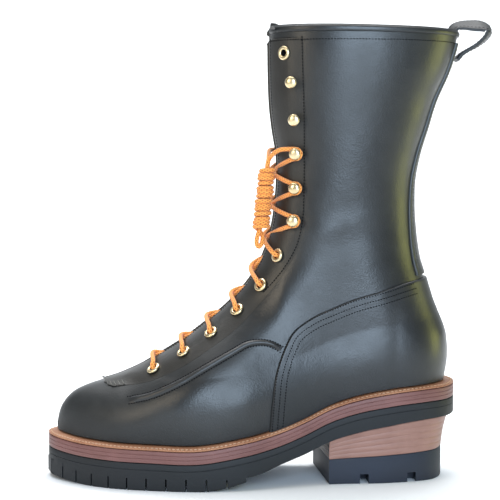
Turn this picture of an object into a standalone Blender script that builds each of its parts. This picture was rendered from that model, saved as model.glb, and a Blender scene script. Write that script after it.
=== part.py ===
"""Left lace-to-toe work boot: toe at -X, outer side at -Y, +Z up, sole on z = 0.

Sizes are in millimetres and the meshes are built in metres.
"""

import math

import bmesh
import bpy
import numpy as np
from mathutils import Vector

# Driving dimensions
MM = 0.001
SOLE_LENGTH = 301.5
BALL_WIDTH = 117.4
TOE_X = -149.0
CENTRE_X = 16.4
TOE_SPRING = 3.2
GAP = 0.3
SKIN_GAP = 0.5
FACET_SAG = 0.4
WALL = 2.4
FEATHER_INSET = 6.5
RING_INSET = 12.6
MIDSOLE_THICK = 8.8
WELT_THICK = 2.4
INSOLE_THICK = 4.6
BOARD_INSET = 3.0
LUG_HEIGHT = 8.6
LUG_PITCH = 14.4
COLLAR_BEAD = 1.2
LACE_RADIUS = 1.65
EYELET_RADIUS = 5.1
HOLE_RADIUS = 3.2
HOOK_RADIUS = 4.2
STRAP_THICK = 2.8
STRAP_WIDTH = 17.0

# Sole plan: distance from the toe, outer half width, inner half width
SOLE_PLAN = [
    (0.0, -8.5, 8.5),
    (5.0, 8.5, 24.5),
    (13.0, 18.0, 33.0),
    (25.0, 29.0, 40.5),
    (51.0, 45.0, 50.0),
    (81.0, 54.0, 57.6),
    (98.0, 57.3, 58.7),
    (117.0, 58.7, 57.0),
    (143.5, 57.0, 47.5),
    (170.0, 50.0, 37.8),
    (203.0, 42.0, 41.0),
    (249.0, 39.5, 46.5),
    (278.0, 32.5, 41.5),
    (289.0, 26.5, 36.5),
    (301.5, -5.0, 5.0),
]

# Sole side: x, underside of the rubber body, top of the rubber body
SOLE_SIDE = [
    (-149.0, LUG_HEIGHT + TOE_SPRING, 19.4 + TOE_SPRING),
    (-128.0, LUG_HEIGHT + 1.0, 20.6),
    (-105.0, LUG_HEIGHT, 19.8),
    (-74.0, LUG_HEIGHT, 19.4),
    (-36.0, LUG_HEIGHT, 19.4),
    (-11.0, LUG_HEIGHT + 0.2, 23.3),
    (5.0, 11.4, 26.4),
    (21.0, 17.6, 30.7),
    (37.5, 23.6, 36.8),
    (58.0, 32.5, 46.0),
    (78.0, 38.3, 52.0),
    (100.0, 42.6, 56.0),
    (127.0, 46.2, 58.5),
    (152.5, 47.5, 59.6),
]

# Upper in side view, one section a row: front x, front z, back x, back z
SECTIONS = [
    (-142.3, 35.0, 142.6, 72.0),
    (-142.4, 40.0, 143.4, 76.5),
    (-140.9, 47.5, 144.3, 81.5),
    (-138.0, 54.0, 144.9, 86.0),
    (-132.9, 60.2, 145.2, 90.5),
    (-126.1, 64.8, 145.2, 95.0),
    (-115.8, 68.9, 144.8, 100.5),
    (-100.5, 73.6, 143.8, 107.0),
    (-84.5, 79.0, 141.4, 114.0),
    (-70.5, 86.6, 138.4, 121.0),
    (-50.7, 98.6, 134.8, 130.0),
    (-31.7, 113.0, 131.8, 139.5),
    (-13.8, 128.8, 128.6, 150.0),
    (0.6, 145.6, 125.0, 162.0),
    (10.0, 162.5, 122.6, 176.5),
    (15.6, 179.5, 121.2, 191.0),
    (18.8, 197.5, 120.7, 205.0),
    (20.4, 217.0, 121.4, 221.0),
    (20.2, 237.0, 125.0, 239.0),
    (17.2, 256.0, 130.8, 258.0),
    (15.0, 275.0, 136.6, 277.0),
    (14.1, 297.0, 145.4, 297.0),
    (13.8, 313.0, 150.6, 313.0),
    (13.6, 322.6, 152.6, 321.2),
    (13.5, 330.4, 153.8, 327.6),
    (13.4, 345.0, 156.0, 342.0),
]
THROAT_LEVEL = 8.5
COLLAR_LEVEL = 24.0
BEAD_LEVEL = 23.3

# Shaft half widths and roundings by height: z, half width, front round, back round
SHAFT = [
    (60.0, 37.0, 40.0, 42.0),
    (110.0, 37.0, 42.0, 46.0),
    (150.0, 36.5, 44.0, 50.0),
    (195.0, 37.0, 48.0, 51.0),
    (245.0, 40.5, 54.0, 56.0),
    (290.0, 44.0, 62.0, 64.0),
    (345.0, 46.0, 68.0, 70.0),
]

# Middle line seen from above: x, y
MIDDLE = [(-142.0, 8.3), (-110.0, 6.5), (-76.0, 4.5), (-30.0, 3.0), (20.0, 2.2), (80.0, 3.0), (145.0, 4.5)]

# Half of the throat's opening by the height of the front: z, half gap
THROAT = [(79.0, 0.3), (88.0, 4.2), (110.0, 6.2), (150.0, 8.0), (200.0, 9.5), (260.0, 11.0), (345.0, 12.5)]

# Rear edge of the eyestay, from the toe up: x, z
EYESTAY_EDGE = [
    (-109.0, 70.6), (-105.0, 69.2), (-101.0, 68.8), (-93.0, 70.0), (-74.0, 74.5), (-52.0, 84.5),
    (-30.0, 98.5), (-8.0, 115.0), (9.8, 134.0), (20.5, 147.5), (28.8, 160.5), (34.6, 173.0), (38.2, 190.0), (39.0, 206.0),
    (39.0, 254.6), (37.4, 300.0), (36.4, 330.0),
]

# Front and top edge of the counter, from the welt up: x, z
COUNTER_EDGE = [
    (12.0, 20.0), (12.8, 42.3), (14.6, 68.0), (16.7, 81.4), (23.5, 101.3), (29.2, 111.1), (42.9, 120.9),
    (57.9, 127.4), (75.1, 133.9), (94.0, 138.9), (115.6, 144.6), (135.0, 147.6), (175.0, 148.0),
]
BACKSTAY_LOW = 150.2
BACKSTAY_TOP = 319.0

# Backstay seen from behind: z, half width
BACKSTAY = [(BACKSTAY_LOW, 22.0), (200.0, 19.0), (260.0, 15.0), (BACKSTAY_TOP, 11.0)]

# Raised seam of the vamp: x, z
VAMP_SEAM = [
    (-88.0, 61.9), (-71.6, 66.3), (-50.7, 76.0), (-30.0, 87.8), (-12.7, 97.3), (-2.4, 102.5),
    (7.9, 103.7), (17.0, 102.8),
]

# Lace holders on each side, from the toe up: x, z
EYELETS = [
    (-69.3, 81.5), (-47.6, 94.1), (-27.8, 108.0), (-8.8, 124.1), (8.6, 142.3), (20.8, 164.1),
    (25.3, 309.7),
]
HOOKS = [(32.5, 189.4), (33.9, 213.1), (34.3, 238.0), (33.1, 262.2), (31.0, 288.5)]

# Middle of the pull strap in side view: x, z
STRAP = [
    (141.8, 304.0), (145.4, 317.0), (147.8, 326.5), (150.6, 332.6), (156.5, 335.4), (164.5, 336.3),
    (172.5, 336.0), (178.6, 332.8), (180.0, 327.6), (176.4, 322.6), (168.9, 317.6), (161.4, 314.0),
    (156.2, 310.8), (153.0, 306.6), (150.7, 299.5),
]

# Heel: x of the breast on each side, back end at the top and the bottom of the stack
BREAST_OUTER = 56.0
BREAST_INNER = 50.5
STACK_BACK = 148.4
LIFT_BACK = 143.2
LIFT_FRONT_TOP = 17.6
LIFT_BACK_TOP = 22.2


def hermite(rows, key=0, value=1):
    """Smooth function through two columns of a table."""
    keys = np.array([row[key] for row in rows], float)
    values = np.array([row[value] for row in rows], float)
    slopes = np.gradient(values, keys)

    def at(x):
        """Value of the curve at x."""
        i = np.clip(np.searchsorted(keys, x) - 1, 0, len(keys) - 2)
        h = keys[i + 1] - keys[i]
        t = np.clip((x - keys[i]) / h, 0.0, 1.0)
        a = (2 * t**3 - 3 * t**2 + 1) * values[i] + (t**3 - 2 * t**2 + t) * h * slopes[i]
        b = (3 * t**2 - 2 * t**3) * values[i + 1] + (t**3 - t**2) * h * slopes[i + 1]
        return a + b

    return at


def ramp(x, low, high):
    """Smooth step from 0 at low to 1 at high."""
    t = np.clip((x - low) / (high - low), 0.0, 1.0)
    return t * t * (3 - 2 * t)


# Sole outline, worked from its plan by the angle that makes the ends round
def end_angle(distance):
    """Angle of a distance along the sole."""
    return math.acos(1 - 2 * distance / SOLE_LENGTH)


PLAN_ANGLE = [(end_angle(d), outer, inner) for d, outer, inner in SOLE_PLAN]
plan_outer = hermite(PLAN_ANGLE, 0, 1)
plan_inner = hermite(PLAN_ANGLE, 0, 2)
sole_under = hermite(SOLE_SIDE, 0, 1)
sole_over = hermite(SOLE_SIDE, 0, 2)


def outline(inset, angles):
    """Outer and inner edge points of the sole plan, moved inwards by inset."""
    fine = np.linspace(0.0, math.pi, 401)
    x = TOE_X + SOLE_LENGTH * (1 - np.cos(fine)) / 2
    edges = []
    for y, sign in ((-plan_outer(fine), 1.0), (plan_inner(fine), -1.0)):
        dx, dy = np.gradient(x, fine), np.gradient(y, fine)
        dx[0] = dx[-1] = 0.0
        run = np.hypot(dx, dy)
        px = x - sign * inset * dy / run
        py = y + sign * inset * dx / run
        edges.append(np.stack([np.interp(angles, fine, px), np.interp(angles, fine, py)], axis=1))
    outer, inner = edges
    for end in (0, -1):
        if abs(angles[end] - (0.0, math.pi)[end]) < 1e-9:
            outer[end] = inner[end] = (outer[end] + inner[end]) / 2
    return outer, inner


def welt_top(x):
    """Height of the welt's upper face."""
    return sole_over(x) + MIDSOLE_THICK + GAP + WELT_THICK + GAP


def feather(x):
    """Height of the upper's lower edge, clear of the welt's flat facets."""
    return welt_top(x) + GAP + FACET_SAG


# Surface of the upper
LEVELS = [(i,) + row for i, row in enumerate(SECTIONS)]
front_x, front_z, back_x, back_z = (hermite(LEVELS, 0, c) for c in (1, 2, 3, 4))
shaft_half, front_round, back_round = (hermite(SHAFT, 0, c) for c in (1, 2, 3))
middle_y = hermite(MIDDLE)
throat_gap = hermite(THROAT)
FINE = np.linspace(0.0, len(SECTIONS) - 1.0, 600)
FINE_X, FINE_Z = front_x(FINE), front_z(FINE)
TOP = int(np.argmax(FINE_X)) + 1
RISE_X = np.maximum.accumulate(FINE_X[:TOP])
BACK_X, BACK_Z = back_x(FINE), np.maximum.accumulate(back_z(FINE))
FOOT_OUTER, FOOT_INNER = outline(FEATHER_INSET, np.linspace(0.0, math.pi, 241))
TOE_FLAT = 3.2
VAMP_FOOT = (-84.5, 79.0)
HEEL_FULL = 104.0
FRONT_HALF = 70.0


def skin(x, z, side):
    """The upper's y at a point of the side view; side is -1 outside and +1 inside."""
    x, z = np.asarray(x, float), np.asarray(z, float)
    foot = FOOT_OUTER if side < 0 else FOOT_INNER
    mid = middle_y(x)
    plan = np.interp(np.minimum(x, HEEL_FULL), foot[:, 0], foot[:, 1])
    half = np.maximum(side * (plan - mid), 0.0)
    above = z - feather(x)
    half = half + 2.2 * np.sin(math.pi * np.clip(above / 46.0, 0.0, 1.0)) * ramp(half, 0.0, 30.0)
    blend = ramp(above, 22.0, 100.0) * ramp(x, -60.0, 12.0)
    half = half * (1 - blend) + shaft_half(z) * blend
    down = np.interp(x, RISE_X, FINE_Z[:TOP]) - z
    down = np.where((x < RISE_X[-1]) & (down > -0.5), down, 1e4)
    low = VAMP_FOOT[0] - (VAMP_FOOT[1] - z) * TOE_FLAT
    along = x - np.where(z < VAMP_FOOT[1], low, np.interp(z, FINE_Z, FINE_X))
    down, along = np.maximum(down, 0.0), np.maximum(along, 0.0)
    near = down * along / np.maximum(np.hypot(down, along), 1e-9)
    arch = 1 - np.clip(1 - near / front_round(z), 0.0, 1.0) ** 2.2
    end = np.interp(z, BACK_Z, BACK_X)
    depth = back_round(z)
    heel = 1 - np.clip(1 - (end - x) / depth, 0.0, 1.0) ** 2.2
    return mid + side * half * arch ** (1 / 2.2) * np.maximum(heel, 0.0) ** (1 / 2.2)


def row(level, share):
    """Side-view points of one section, from its front (0) to its back (1)."""
    fx, fz, bx, bz = front_x(level), front_z(level), back_x(level), back_z(level)
    x = fx + (bx - fx) * share
    sag_weight = max(0.0, 1 - level / 9.0) ** 1.5

    def sag(at):
        """How far the feather line lies off a straight line."""
        low, high = SECTIONS[0][0], SECTIONS[0][2]
        line = feather(low) + (feather(high) - feather(low)) * (at - low) / (high - low)
        return feather(at) - line

    ends = sag(fx) * (1 - share) + sag(bx) * share
    return x, fz + (bz - fz) * share + sag_weight * (sag(x) - ends)


def share_where(level, test):
    """Share along a section, from its front, where a rising test crosses zero."""
    low, high = 0.0, 1.0
    for _ in range(40):
        mid = (low + high) / 2
        x, z = row(level, mid)
        if test(x, z) < 0:
            low = mid
        else:
            high = mid
    return (low + high) / 2


def half_width_share(level, side, width):
    """Share along a section where the skin is width away from the middle line."""

    def beyond(x, z):
        """How far a point lies outside the width; the back half counts as outside."""
        return abs(float(skin(x, z, side) - middle_y(x))) - width if x < FRONT_HALF else 1.0

    return share_where(level, beyond)


def throat_share(level, side):
    """Share along a section where the throat's edge lies."""
    if level <= THROAT_LEVEL:
        return 0.0
    return half_width_share(level, side, float(throat_gap(front_z(level))))


def strip(level, side, start, count):
    """Points on the upper from a share of a section to its back, closer at both ends."""
    fine = start + (1 - start) * (1 - np.cos(np.linspace(0.0, math.pi, 241))) / 2
    x, z = row(level, fine)
    y = skin(x, z, side)
    y[-1] = middle_y(x[-1])
    if start == 0.0:
        y[0] = middle_y(x[0])
    run = np.concatenate([[0.0], np.cumsum(np.sqrt(np.diff(x) ** 2 + np.diff(y) ** 2 + np.diff(z) ** 2))])
    t = np.linspace(0.0, 1.0, count)
    t = 0.45 * t + 0.55 * (1 - np.cos(math.pi * t)) / 2
    return np.stack([np.interp(t * run[-1], run, c) for c in (x, y, z)], axis=1)


def wrap(levels, start, count):
    """Rows of points from the outer side around the back to the inner side."""
    rows = []
    for level in levels:
        outer = strip(level, -1, start(level, -1), count)
        inner = strip(level, 1, start(level, 1), count)
        rows.append(np.concatenate([outer, inner[-2::-1]]))
    return np.array(rows)


# Scene and materials
for old in list(bpy.data.objects):
    bpy.data.objects.remove(old)
BOOT = bpy.data.collections.new("boot")
TOOLS = bpy.data.collections.new("cutters")
bpy.context.scene.collection.children.link(BOOT)
bpy.context.scene.collection.children.link(TOOLS)

COLOURS = {
    "black_leather": ((0.020, 0.020, 0.023), 0.42, 0.0),
    "black_rubber": ((0.012, 0.012, 0.014), 0.55, 0.0),
    "tan_welt": ((0.46, 0.24, 0.10), 0.6, 0.0),
    "brown_midsole": ((0.19, 0.075, 0.060), 0.5, 0.0),
    "brown_stack": ((0.22, 0.125, 0.10), 0.5, 0.0),
    "inner_leather": ((0.25, 0.17, 0.11), 0.7, 0.0),
    "brass": ((0.80, 0.66, 0.36), 0.3, 1.0),
    "orange_lace": ((0.80, 0.33, 0.06), 0.75, 0.0),
}


def material(name):
    """Plain shading for one kind of stuff."""
    made = bpy.data.materials.get(name)
    if made is None:
        colour, rough, metal = COLOURS[name]
        made = bpy.data.materials.new(name)
        made.use_nodes = True
        node = made.node_tree.nodes["Principled BSDF"]
        node.inputs["Base Color"].default_value = (*colour, 1.0)
        node.inputs["Roughness"].default_value = rough
        node.inputs["Metallic"].default_value = metal
    return made


def to_world(p):
    """Metres in the boot's frame."""
    return Vector(((p[0] - CENTRE_X) * MM, p[1] * MM, p[2] * MM))


def add_object(name, bm, stuff, collection=None):
    """One named object from a bmesh."""
    bmesh.ops.recalc_face_normals(bm, faces=bm.faces)
    mesh = bpy.data.meshes.new(name)
    bm.to_mesh(mesh)
    bm.free()
    thing = bpy.data.objects.new(name, mesh)
    if collection is TOOLS:
        thing.hide_render = True
        thing.display_type = "WIRE"
    else:
        mesh.materials.append(material(stuff))
    (collection or BOOT).objects.link(thing)
    return thing


def grid_mesh(rows):
    """Open mesh of a grid of points, with the touching ones merged."""
    bm = bmesh.new()
    table = [[bm.verts.new(to_world(p)) for p in line] for line in rows]
    for a, b in zip(table, table[1:]):
        for i in range(len(a) - 1):
            bm.faces.new((a[i], a[i + 1], b[i + 1], b[i]))
    bmesh.ops.remove_doubles(bm, verts=bm.verts, dist=0.00002)
    bmesh.ops.dissolve_degenerate(bm, edges=bm.edges, dist=0.00001)
    bm.normal_update()
    return bm


RIM_LEVEL = 1.0


def shell(name, rows, stuff, inner, outer):
    """Solid between two offsets of a grid; an offset is a size or one value for each point."""
    bm = grid_mesh(rows)
    flow = 0.0
    for face in bm.faces:
        c = face.calc_center_median()
        flow += face.normal.y * (c.y - MM * float(middle_y(c.x / MM + CENTRE_X))) * face.calc_area()
    if flow < 0:
        bmesh.ops.reverse_faces(bm, faces=bm.faces)
        bm.normal_update()
    bm.verts.index_update()
    verts = list(bm.verts)
    faces = [tuple(v.index for v in f.verts) for f in bm.faces]
    rim = [e for e in bm.edges if e.is_boundary]
    loops = []
    for e in rim:
        loop = e.link_loops[0]
        loops.append((loop.vert.index, loop.link_loop_next.vert.index))
    made = bmesh.new()
    shells = []
    for size in (outer, inner):
        side = []
        for v in verts:
            p = (v.co.x / MM + CENTRE_X, v.co.y / MM, v.co.z / MM)
            step = size(p) if callable(size) else size
            out = v.normal.copy()
            if p[2] < feather(p[0]) + RIM_LEVEL:
                out.z = 0.0
            side.append(made.verts.new(v.co + out.normalized() * step * MM))
        shells.append(side)
    for f in faces:
        made.faces.new([shells[0][i] for i in f])
        made.faces.new([shells[1][i] for i in reversed(f)])
    for a, b in loops:
        made.faces.new((shells[0][b], shells[0][a], shells[1][a], shells[1][b]))
    bm.free()
    bmesh.ops.triangulate(made, faces=made.faces)
    return add_object(name, made, stuff)


def slab(name, layers, stuff, collection=None):
    """Solid between stacked ladders; a layer holds its outer points and its inner points."""
    bm = bmesh.new()
    rings = []
    for outer, inner in layers:
        a = [bm.verts.new(to_world(p)) for p in outer]
        b = [bm.verts.new(to_world(p)) for p in inner]
        rings.append((a, b))
    count = len(rings[0][0])
    for a, b in (rings[0], rings[-1]):
        for i in range(count - 1):
            bm.faces.new((a[i], a[i + 1], b[i + 1], b[i]))
    for low, high in zip(rings, rings[1:]):
        for part in (0, 1):
            for i in range(count - 1):
                bm.faces.new((low[part][i], low[part][i + 1], high[part][i + 1], high[part][i]))
        for i in (0, count - 1):
            bm.faces.new((low[0][i], low[1][i], high[1][i], high[0][i]))
    bmesh.ops.remove_doubles(bm, verts=bm.verts, dist=0.00002)
    bmesh.ops.dissolve_degenerate(bm, edges=bm.edges, dist=0.00001)
    return add_object(name, bm, stuff, collection)


def lay(points, height):
    """Points of a plan lifted to a height that depends on x."""
    return [(x, y, float(height(x))) for x, y in points]


def prism(name, bottom, top, stuff=None, collection=None):
    """Solid between two polygons with the same number of points."""
    bm = bmesh.new()
    a = [bm.verts.new(to_world(p)) for p in bottom]
    b = [bm.verts.new(to_world(p)) for p in top]
    bm.faces.new(a)
    bm.faces.new(b)
    for i in range(len(a)):
        j = (i + 1) % len(a)
        bm.faces.new((a[i], a[j], b[j], b[i]))
    return add_object(name, bm, stuff, collection)


def join_meshes(name, things, stuff=None, collection=None):
    """One object from several, whose own objects go."""
    bm = bmesh.new()
    for thing in things:
        bm.from_mesh(thing.data)
    for thing in things:
        bpy.data.objects.remove(thing)
    return add_object(name, bm, stuff, collection)


def boolean(target, tool, operation, crossing=False):
    """Cut or join with another object, applied at once; crossing says that the tool meets itself."""
    step = target.modifiers.new(operation.lower(), "BOOLEAN")
    step.operation = operation
    step.solver = "EXACT"
    step.object = tool
    step.use_self = crossing
    bpy.context.view_layer.update()
    graph = bpy.context.evaluated_depsgraph_get()
    mesh = bpy.data.meshes.new_from_object(target.evaluated_get(graph))
    target.modifiers.remove(step)
    old = target.data
    target.data = mesh
    mesh.name = target.name
    bpy.data.meshes.remove(old)
    bm = bmesh.new()
    bm.from_mesh(mesh)
    bmesh.ops.remove_doubles(bm, verts=bm.verts, dist=0.00001)
    bmesh.ops.dissolve_degenerate(bm, edges=bm.edges, dist=0.000005)
    bmesh.ops.triangulate(bm, faces=bm.faces)
    bm.to_mesh(mesh)
    bm.free()


def turned(name, base, axis, profile, count, stuff, collection=None):
    """Solid turned about an axis; the profile lists (height, radius) and may close on itself."""
    axis = Vector(axis).normalized()
    side = axis.cross(Vector((0.0, 0.0, 1.0)) if abs(axis.z) < 0.9 else Vector((1.0, 0.0, 0.0))).normalized()
    other = axis.cross(side)
    bm = bmesh.new()
    rings = []
    for height, radius in profile:
        ring = []
        for k in range(count):
            a = 2 * math.pi * (k + 0.5) / count
            p = Vector(base) + axis * height + (side * math.cos(a) + other * math.sin(a)) * radius
            ring.append(bm.verts.new(to_world(p)))
        rings.append(ring)
    closed = profile[0][1] > 0 and profile[-1][1] > 0
    pairs = list(zip(rings, rings[1:])) + ([(rings[-1], rings[0])] if closed else [])
    for a, b in pairs:
        for k in range(count):
            n = (k + 1) % count
            bm.faces.new((a[k], a[n], b[n], b[k]))
    bmesh.ops.remove_doubles(bm, verts=bm.verts, dist=0.00001)
    bmesh.ops.dissolve_degenerate(bm, edges=bm.edges, dist=0.000005)
    return add_object(name, bm, stuff, collection)


def tube(name, path, radius, sides, stuff=None, collection=None):
    """Round bar along a path, closed at both ends."""
    path = [Vector(p) for p in path]
    bm = bmesh.new()
    rings = []
    up = Vector((0.0, 0.0, 1.0))
    for i, p in enumerate(path):
        ahead = (path[min(i + 1, len(path) - 1)] - path[max(i - 1, 0)]).normalized()
        side = ahead.cross(up).normalized()
        over = side.cross(ahead)
        ring = []
        for k in range(sides):
            a = 2 * math.pi * (k + 0.5) / sides
            ring.append(bm.verts.new(to_world(p + (side * math.cos(a) + over * math.sin(a)) * radius)))
        rings.append(ring)
    for a, b in zip(rings, rings[1:]):
        for k in range(sides):
            n = (k + 1) % sides
            bm.faces.new((a[k], a[n], b[n], b[k]))
    bm.faces.new(rings[0])
    bm.faces.new(rings[-1])
    return add_object(name, bm, stuff, collection)


def skin_frame(x, z, side):
    """Point and outward direction of the upper at a point of the side view."""
    step = 0.5
    y = float(skin(x, z, side))
    sx = (float(skin(x + step, z, side)) - float(skin(x - step, z, side))) / (2 * step)
    sz = (float(skin(x, z + step, side)) - float(skin(x, z - step, side))) / (2 * step)
    return Vector((x, y, z)), Vector((-sx, 1.0, -sz)).normalized() * side


# Rubber outsole: body, bar lugs along both edges and cross lugs between them
SOLE_ANGLES = np.linspace(0.0, math.pi, 29)
sole_outer, sole_inner = outline(0.0, SOLE_ANGLES)
outsole = slab(
    "outsole",
    [(lay(sole_outer, sole_under), lay(sole_inner, sole_under)),
     (lay(sole_outer, sole_over), lay(sole_inner, sole_over))],
    "black_rubber",
)


def tread(x):
    """Height of the tread above the floor, which rises to the toe and to the arch."""
    toe = TOE_SPRING * max(0.0, (-108.0 - x) / 41.0) ** 2
    return toe + LUG_HEIGHT * max(0.0, (x + 34.0) / 36.0) ** 1.6


LUG_END = 3.5
LUG_ROOT = 2.5
EDGE_ANGLES = np.linspace(0.0, math.pi, 401)
EDGE_OUTER, EDGE_INNER = outline(0.7, EDGE_ANGLES)


def edge_at(points, run, distance):
    """Point and direction of an edge, a distance along it."""
    p = np.array([np.interp(distance, run, points[:, c]) for c in (0, 1)])
    q = np.array([np.interp(distance + 0.5, run, points[:, c]) for c in (0, 1)])
    ahead = (q - p) / np.linalg.norm(q - p)
    return p, ahead


def bar_lug(name, p, ahead, inward, depth):
    """Bar that runs inwards from the edge and is narrower at its middle."""
    plan = []
    for reach, half in ((0.0, 6.2), (depth * 0.45, 3.5), (depth, 4.6)):
        plan.append((p + inward * reach - ahead * half, p + inward * reach + ahead * half))
    ring = [plan[0][0], plan[1][0], plan[2][0], plan[2][1], plan[1][1], plan[0][1]]
    low = [(x, y, tread(x)) for x, y in ring]
    high = [(x, y, float(sole_under(x)) + LUG_ROOT) for x, y in ring]
    return prism(name, low, high, None, TOOLS)


lugs = []
for points, turn in ((EDGE_OUTER, 1.0), (EDGE_INNER, -1.0)):
    run = np.concatenate([[0.0], np.cumsum(np.hypot(*np.diff(points, axis=0).T))])
    distance = 7.5
    while True:
        p, ahead = edge_at(points, run, distance)
        if p[0] > LUG_END - 6.2:
            break
        inward = np.array([-ahead[1], ahead[0]]) * turn
        depth = 15.0 if distance < 10 else 21.0 if distance < 28 else 25.0
        lugs.append(bar_lug(f"lug_{len(lugs)}", p, ahead, inward, depth))
        distance += LUG_PITCH


def cross_lug(name, x, y, arm, half, low, high):
    """Upright cross."""
    ring = [
        (arm, -half), (arm, half), (half, half), (half, arm), (-half, arm), (-half, half),
        (-arm, half), (-arm, -half), (-half, -half), (-half, -arm), (half, -arm), (half, -half),
    ]
    a = [(x + u, y + v, low) for u, v in ring]
    b = [(x + u, y + v, high) for u, v in ring]
    return prism(name, a, b, None, TOOLS)


CROSS_PITCH = 21.0
CROSS_ARM = 7.2
CROSS_HALF = 2.6
CROSS_TOP = LUG_HEIGHT + LUG_ROOT

# Columns of crosses: name, count, first x, first y, step of y
for name, count, x, y, step in (("a", 5, -102.0, 9.5, -2.4), ("b", 4, -91.5, -6.5, -2.6)):
    for k in range(count):
        place = (x + CROSS_PITCH * k, y + step * k)
        lugs.append(cross_lug(f"cross_{name}{k}", *place, CROSS_ARM, CROSS_HALF, 0.0, CROSS_TOP))
lug_tool = join_meshes("lugs", lugs, None, TOOLS)
boolean(outsole, lug_tool, "UNION", True)

# Leather midsole, welt ring and insole
def raised(base, lift):
    """Height function lifted by a size."""
    return lambda x: float(base(x)) + lift


def layer(edges, low, high):
    """Two ladders of a plan, at two heights above the rubber body."""
    return [tuple(lay(edge, raised(sole_over, lift)) for edge in edges) for lift in (low, high)]


slab("midsole", layer((sole_outer, sole_inner), GAP, GAP + MIDSOLE_THICK), "brown_midsole")
WELT_LOW = 2 * GAP + MIDSOLE_THICK
ring_outer, ring_inner = outline(RING_INSET, SOLE_ANGLES)
out_ring = np.concatenate([sole_outer, sole_inner[-2:0:-1]])
in_ring = np.concatenate([ring_outer, ring_inner[-2:0:-1]])
welt_low, welt_high = raised(sole_over, WELT_LOW), raised(sole_over, WELT_LOW + WELT_THICK)
bm = bmesh.new()
corners = ((out_ring, welt_low), (out_ring, welt_high), (in_ring, welt_high), (in_ring, welt_low))
welt_rings = [[bm.verts.new(to_world(p)) for p in lay(ring, height)] for ring, height in corners]
for k in range(4):
    a, b = welt_rings[k], welt_rings[(k + 1) % 4]
    for i in range(len(a)):
        j = (i + 1) % len(a)
        bm.faces.new((a[i], a[j], b[j], b[i]))
add_object("welt", bm, "tan_welt")
board = outline(RING_INSET + BOARD_INSET, SOLE_ANGLES)
slab("insole", layer(board, WELT_LOW, WELT_LOW + INSOLE_THICK), "inner_leather")

# Heel: leather stack and rubber lift, both drawn in towards the floor
HEEL_STEPS = 11


def heel_plan(inset, back, shrink):
    """Outer and inner edge points of the heel, from its breast to its back."""
    outer, inner = outline(inset, np.linspace(0.0, math.pi, 401))
    edges = []
    for points, breast in ((outer, BREAST_OUTER), (inner, BREAST_INNER)):
        end = points[-1]
        t = np.sin(np.linspace(0.0, math.pi / 2, HEEL_STEPS))
        x = breast + (end[0] - breast) * t
        y = np.interp(x, points[:, 0], points[:, 1])
        y[-1] = end[1]
        moved = breast + (x - breast) * (back - breast) / (end[0] - breast)
        mid = end[1]
        edges.append(np.stack([moved, mid + (y - mid) * shrink], axis=1))
    return edges


def lift_top(x):
    """Height of the rubber lift."""
    share = (x - BREAST_INNER) / (LIFT_BACK - BREAST_INNER)
    return LIFT_FRONT_TOP + (LIFT_BACK_TOP - LIFT_FRONT_TOP) * share


stack_top = heel_plan(2.0, STACK_BACK, 1.0)
stack_mid = heel_plan(2.6, STACK_BACK - 3.4, 0.975)
stack_low = heel_plan(3.0, LIFT_BACK + 0.3, 0.96)
slab(
    "heel_stack",
    [
        tuple(lay(e, raised(lift_top, GAP)) for e in stack_low),
        tuple([(x, y, 0.5 * (lift_top(x) + float(sole_under(x)))) for x, y in e] for e in stack_mid),
        tuple(lay(e, raised(sole_under, -GAP - 0.1)) for e in stack_top),
    ],
    "brown_stack",
)
lift_edges = heel_plan(3.0, LIFT_BACK, 0.96)
heel_lift = slab(
    "heel_lift",
    [tuple(lay(e, lambda x: 0.0) for e in lift_edges), tuple(lay(e, lift_top) for e in lift_edges)],
    "black_rubber",
)


def box(name, x0, x1, y0, y1, z0, z1):
    """Plain block used as a cutter."""
    low = [(x0, y0, z0), (x1, y0, z0), (x1, y1, z0), (x0, y1, z0)]
    return prism(name, low, [(x, y, z1) for x, y, _ in low], None, TOOLS)


NOTCH_TALL = 7.0
NOTCH_WIDE = 6.4

# Notches of the heel's edge: x, low y, high y
NOTCHES = [
    (78.5, -60.0, -19.0), (113.5, -60.0, -19.0), (74.5, 24.0, 70.0), (96.0, 24.0, 70.0), (117.5, 24.0, 70.0),
]
notches = []
for k, (x, low, high) in enumerate(NOTCHES):
    notches.append(box(f"notch_{k}", x, x + NOTCH_WIDE, low, high, -1.0, NOTCH_TALL))
notches.append(box("recess", 66.0, 124.0, -12.0, 17.0, -1.0, 5.5))
boolean(heel_lift, join_meshes("heel_cuts", notches, None, TOOLS), "DIFFERENCE")
boolean(heel_lift, cross_lug("heel_cross", 94.0, 2.5, 9.0, 3.0, 0.0, 7.5), "UNION")

# Upper: one hollow wall with a beaded collar
UPPER_LEVELS = [*np.arange(0.0, 8.0), THROAT_LEVEL, *np.linspace(9.3, 22.6, 13)]
UPPER_LEVELS += [BEAD_LEVEL - 0.02, BEAD_LEVEL, COLLAR_LEVEL]
COLUMNS = 12


def bead(p):
    """Outward step of the collar bead at a point."""
    share = (p[0] - front_x(BEAD_LEVEL)) / (back_x(BEAD_LEVEL) - front_x(BEAD_LEVEL))
    line = front_z(BEAD_LEVEL) + (back_z(BEAD_LEVEL) - front_z(BEAD_LEVEL)) * share
    return COLLAR_BEAD if p[2] > line - 0.05 else 0.0


UPPER_ROWS = wrap(UPPER_LEVELS, throat_share, COLUMNS)
upper = shell("upper", UPPER_ROWS, "black_leather", -WALL, bead)

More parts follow.
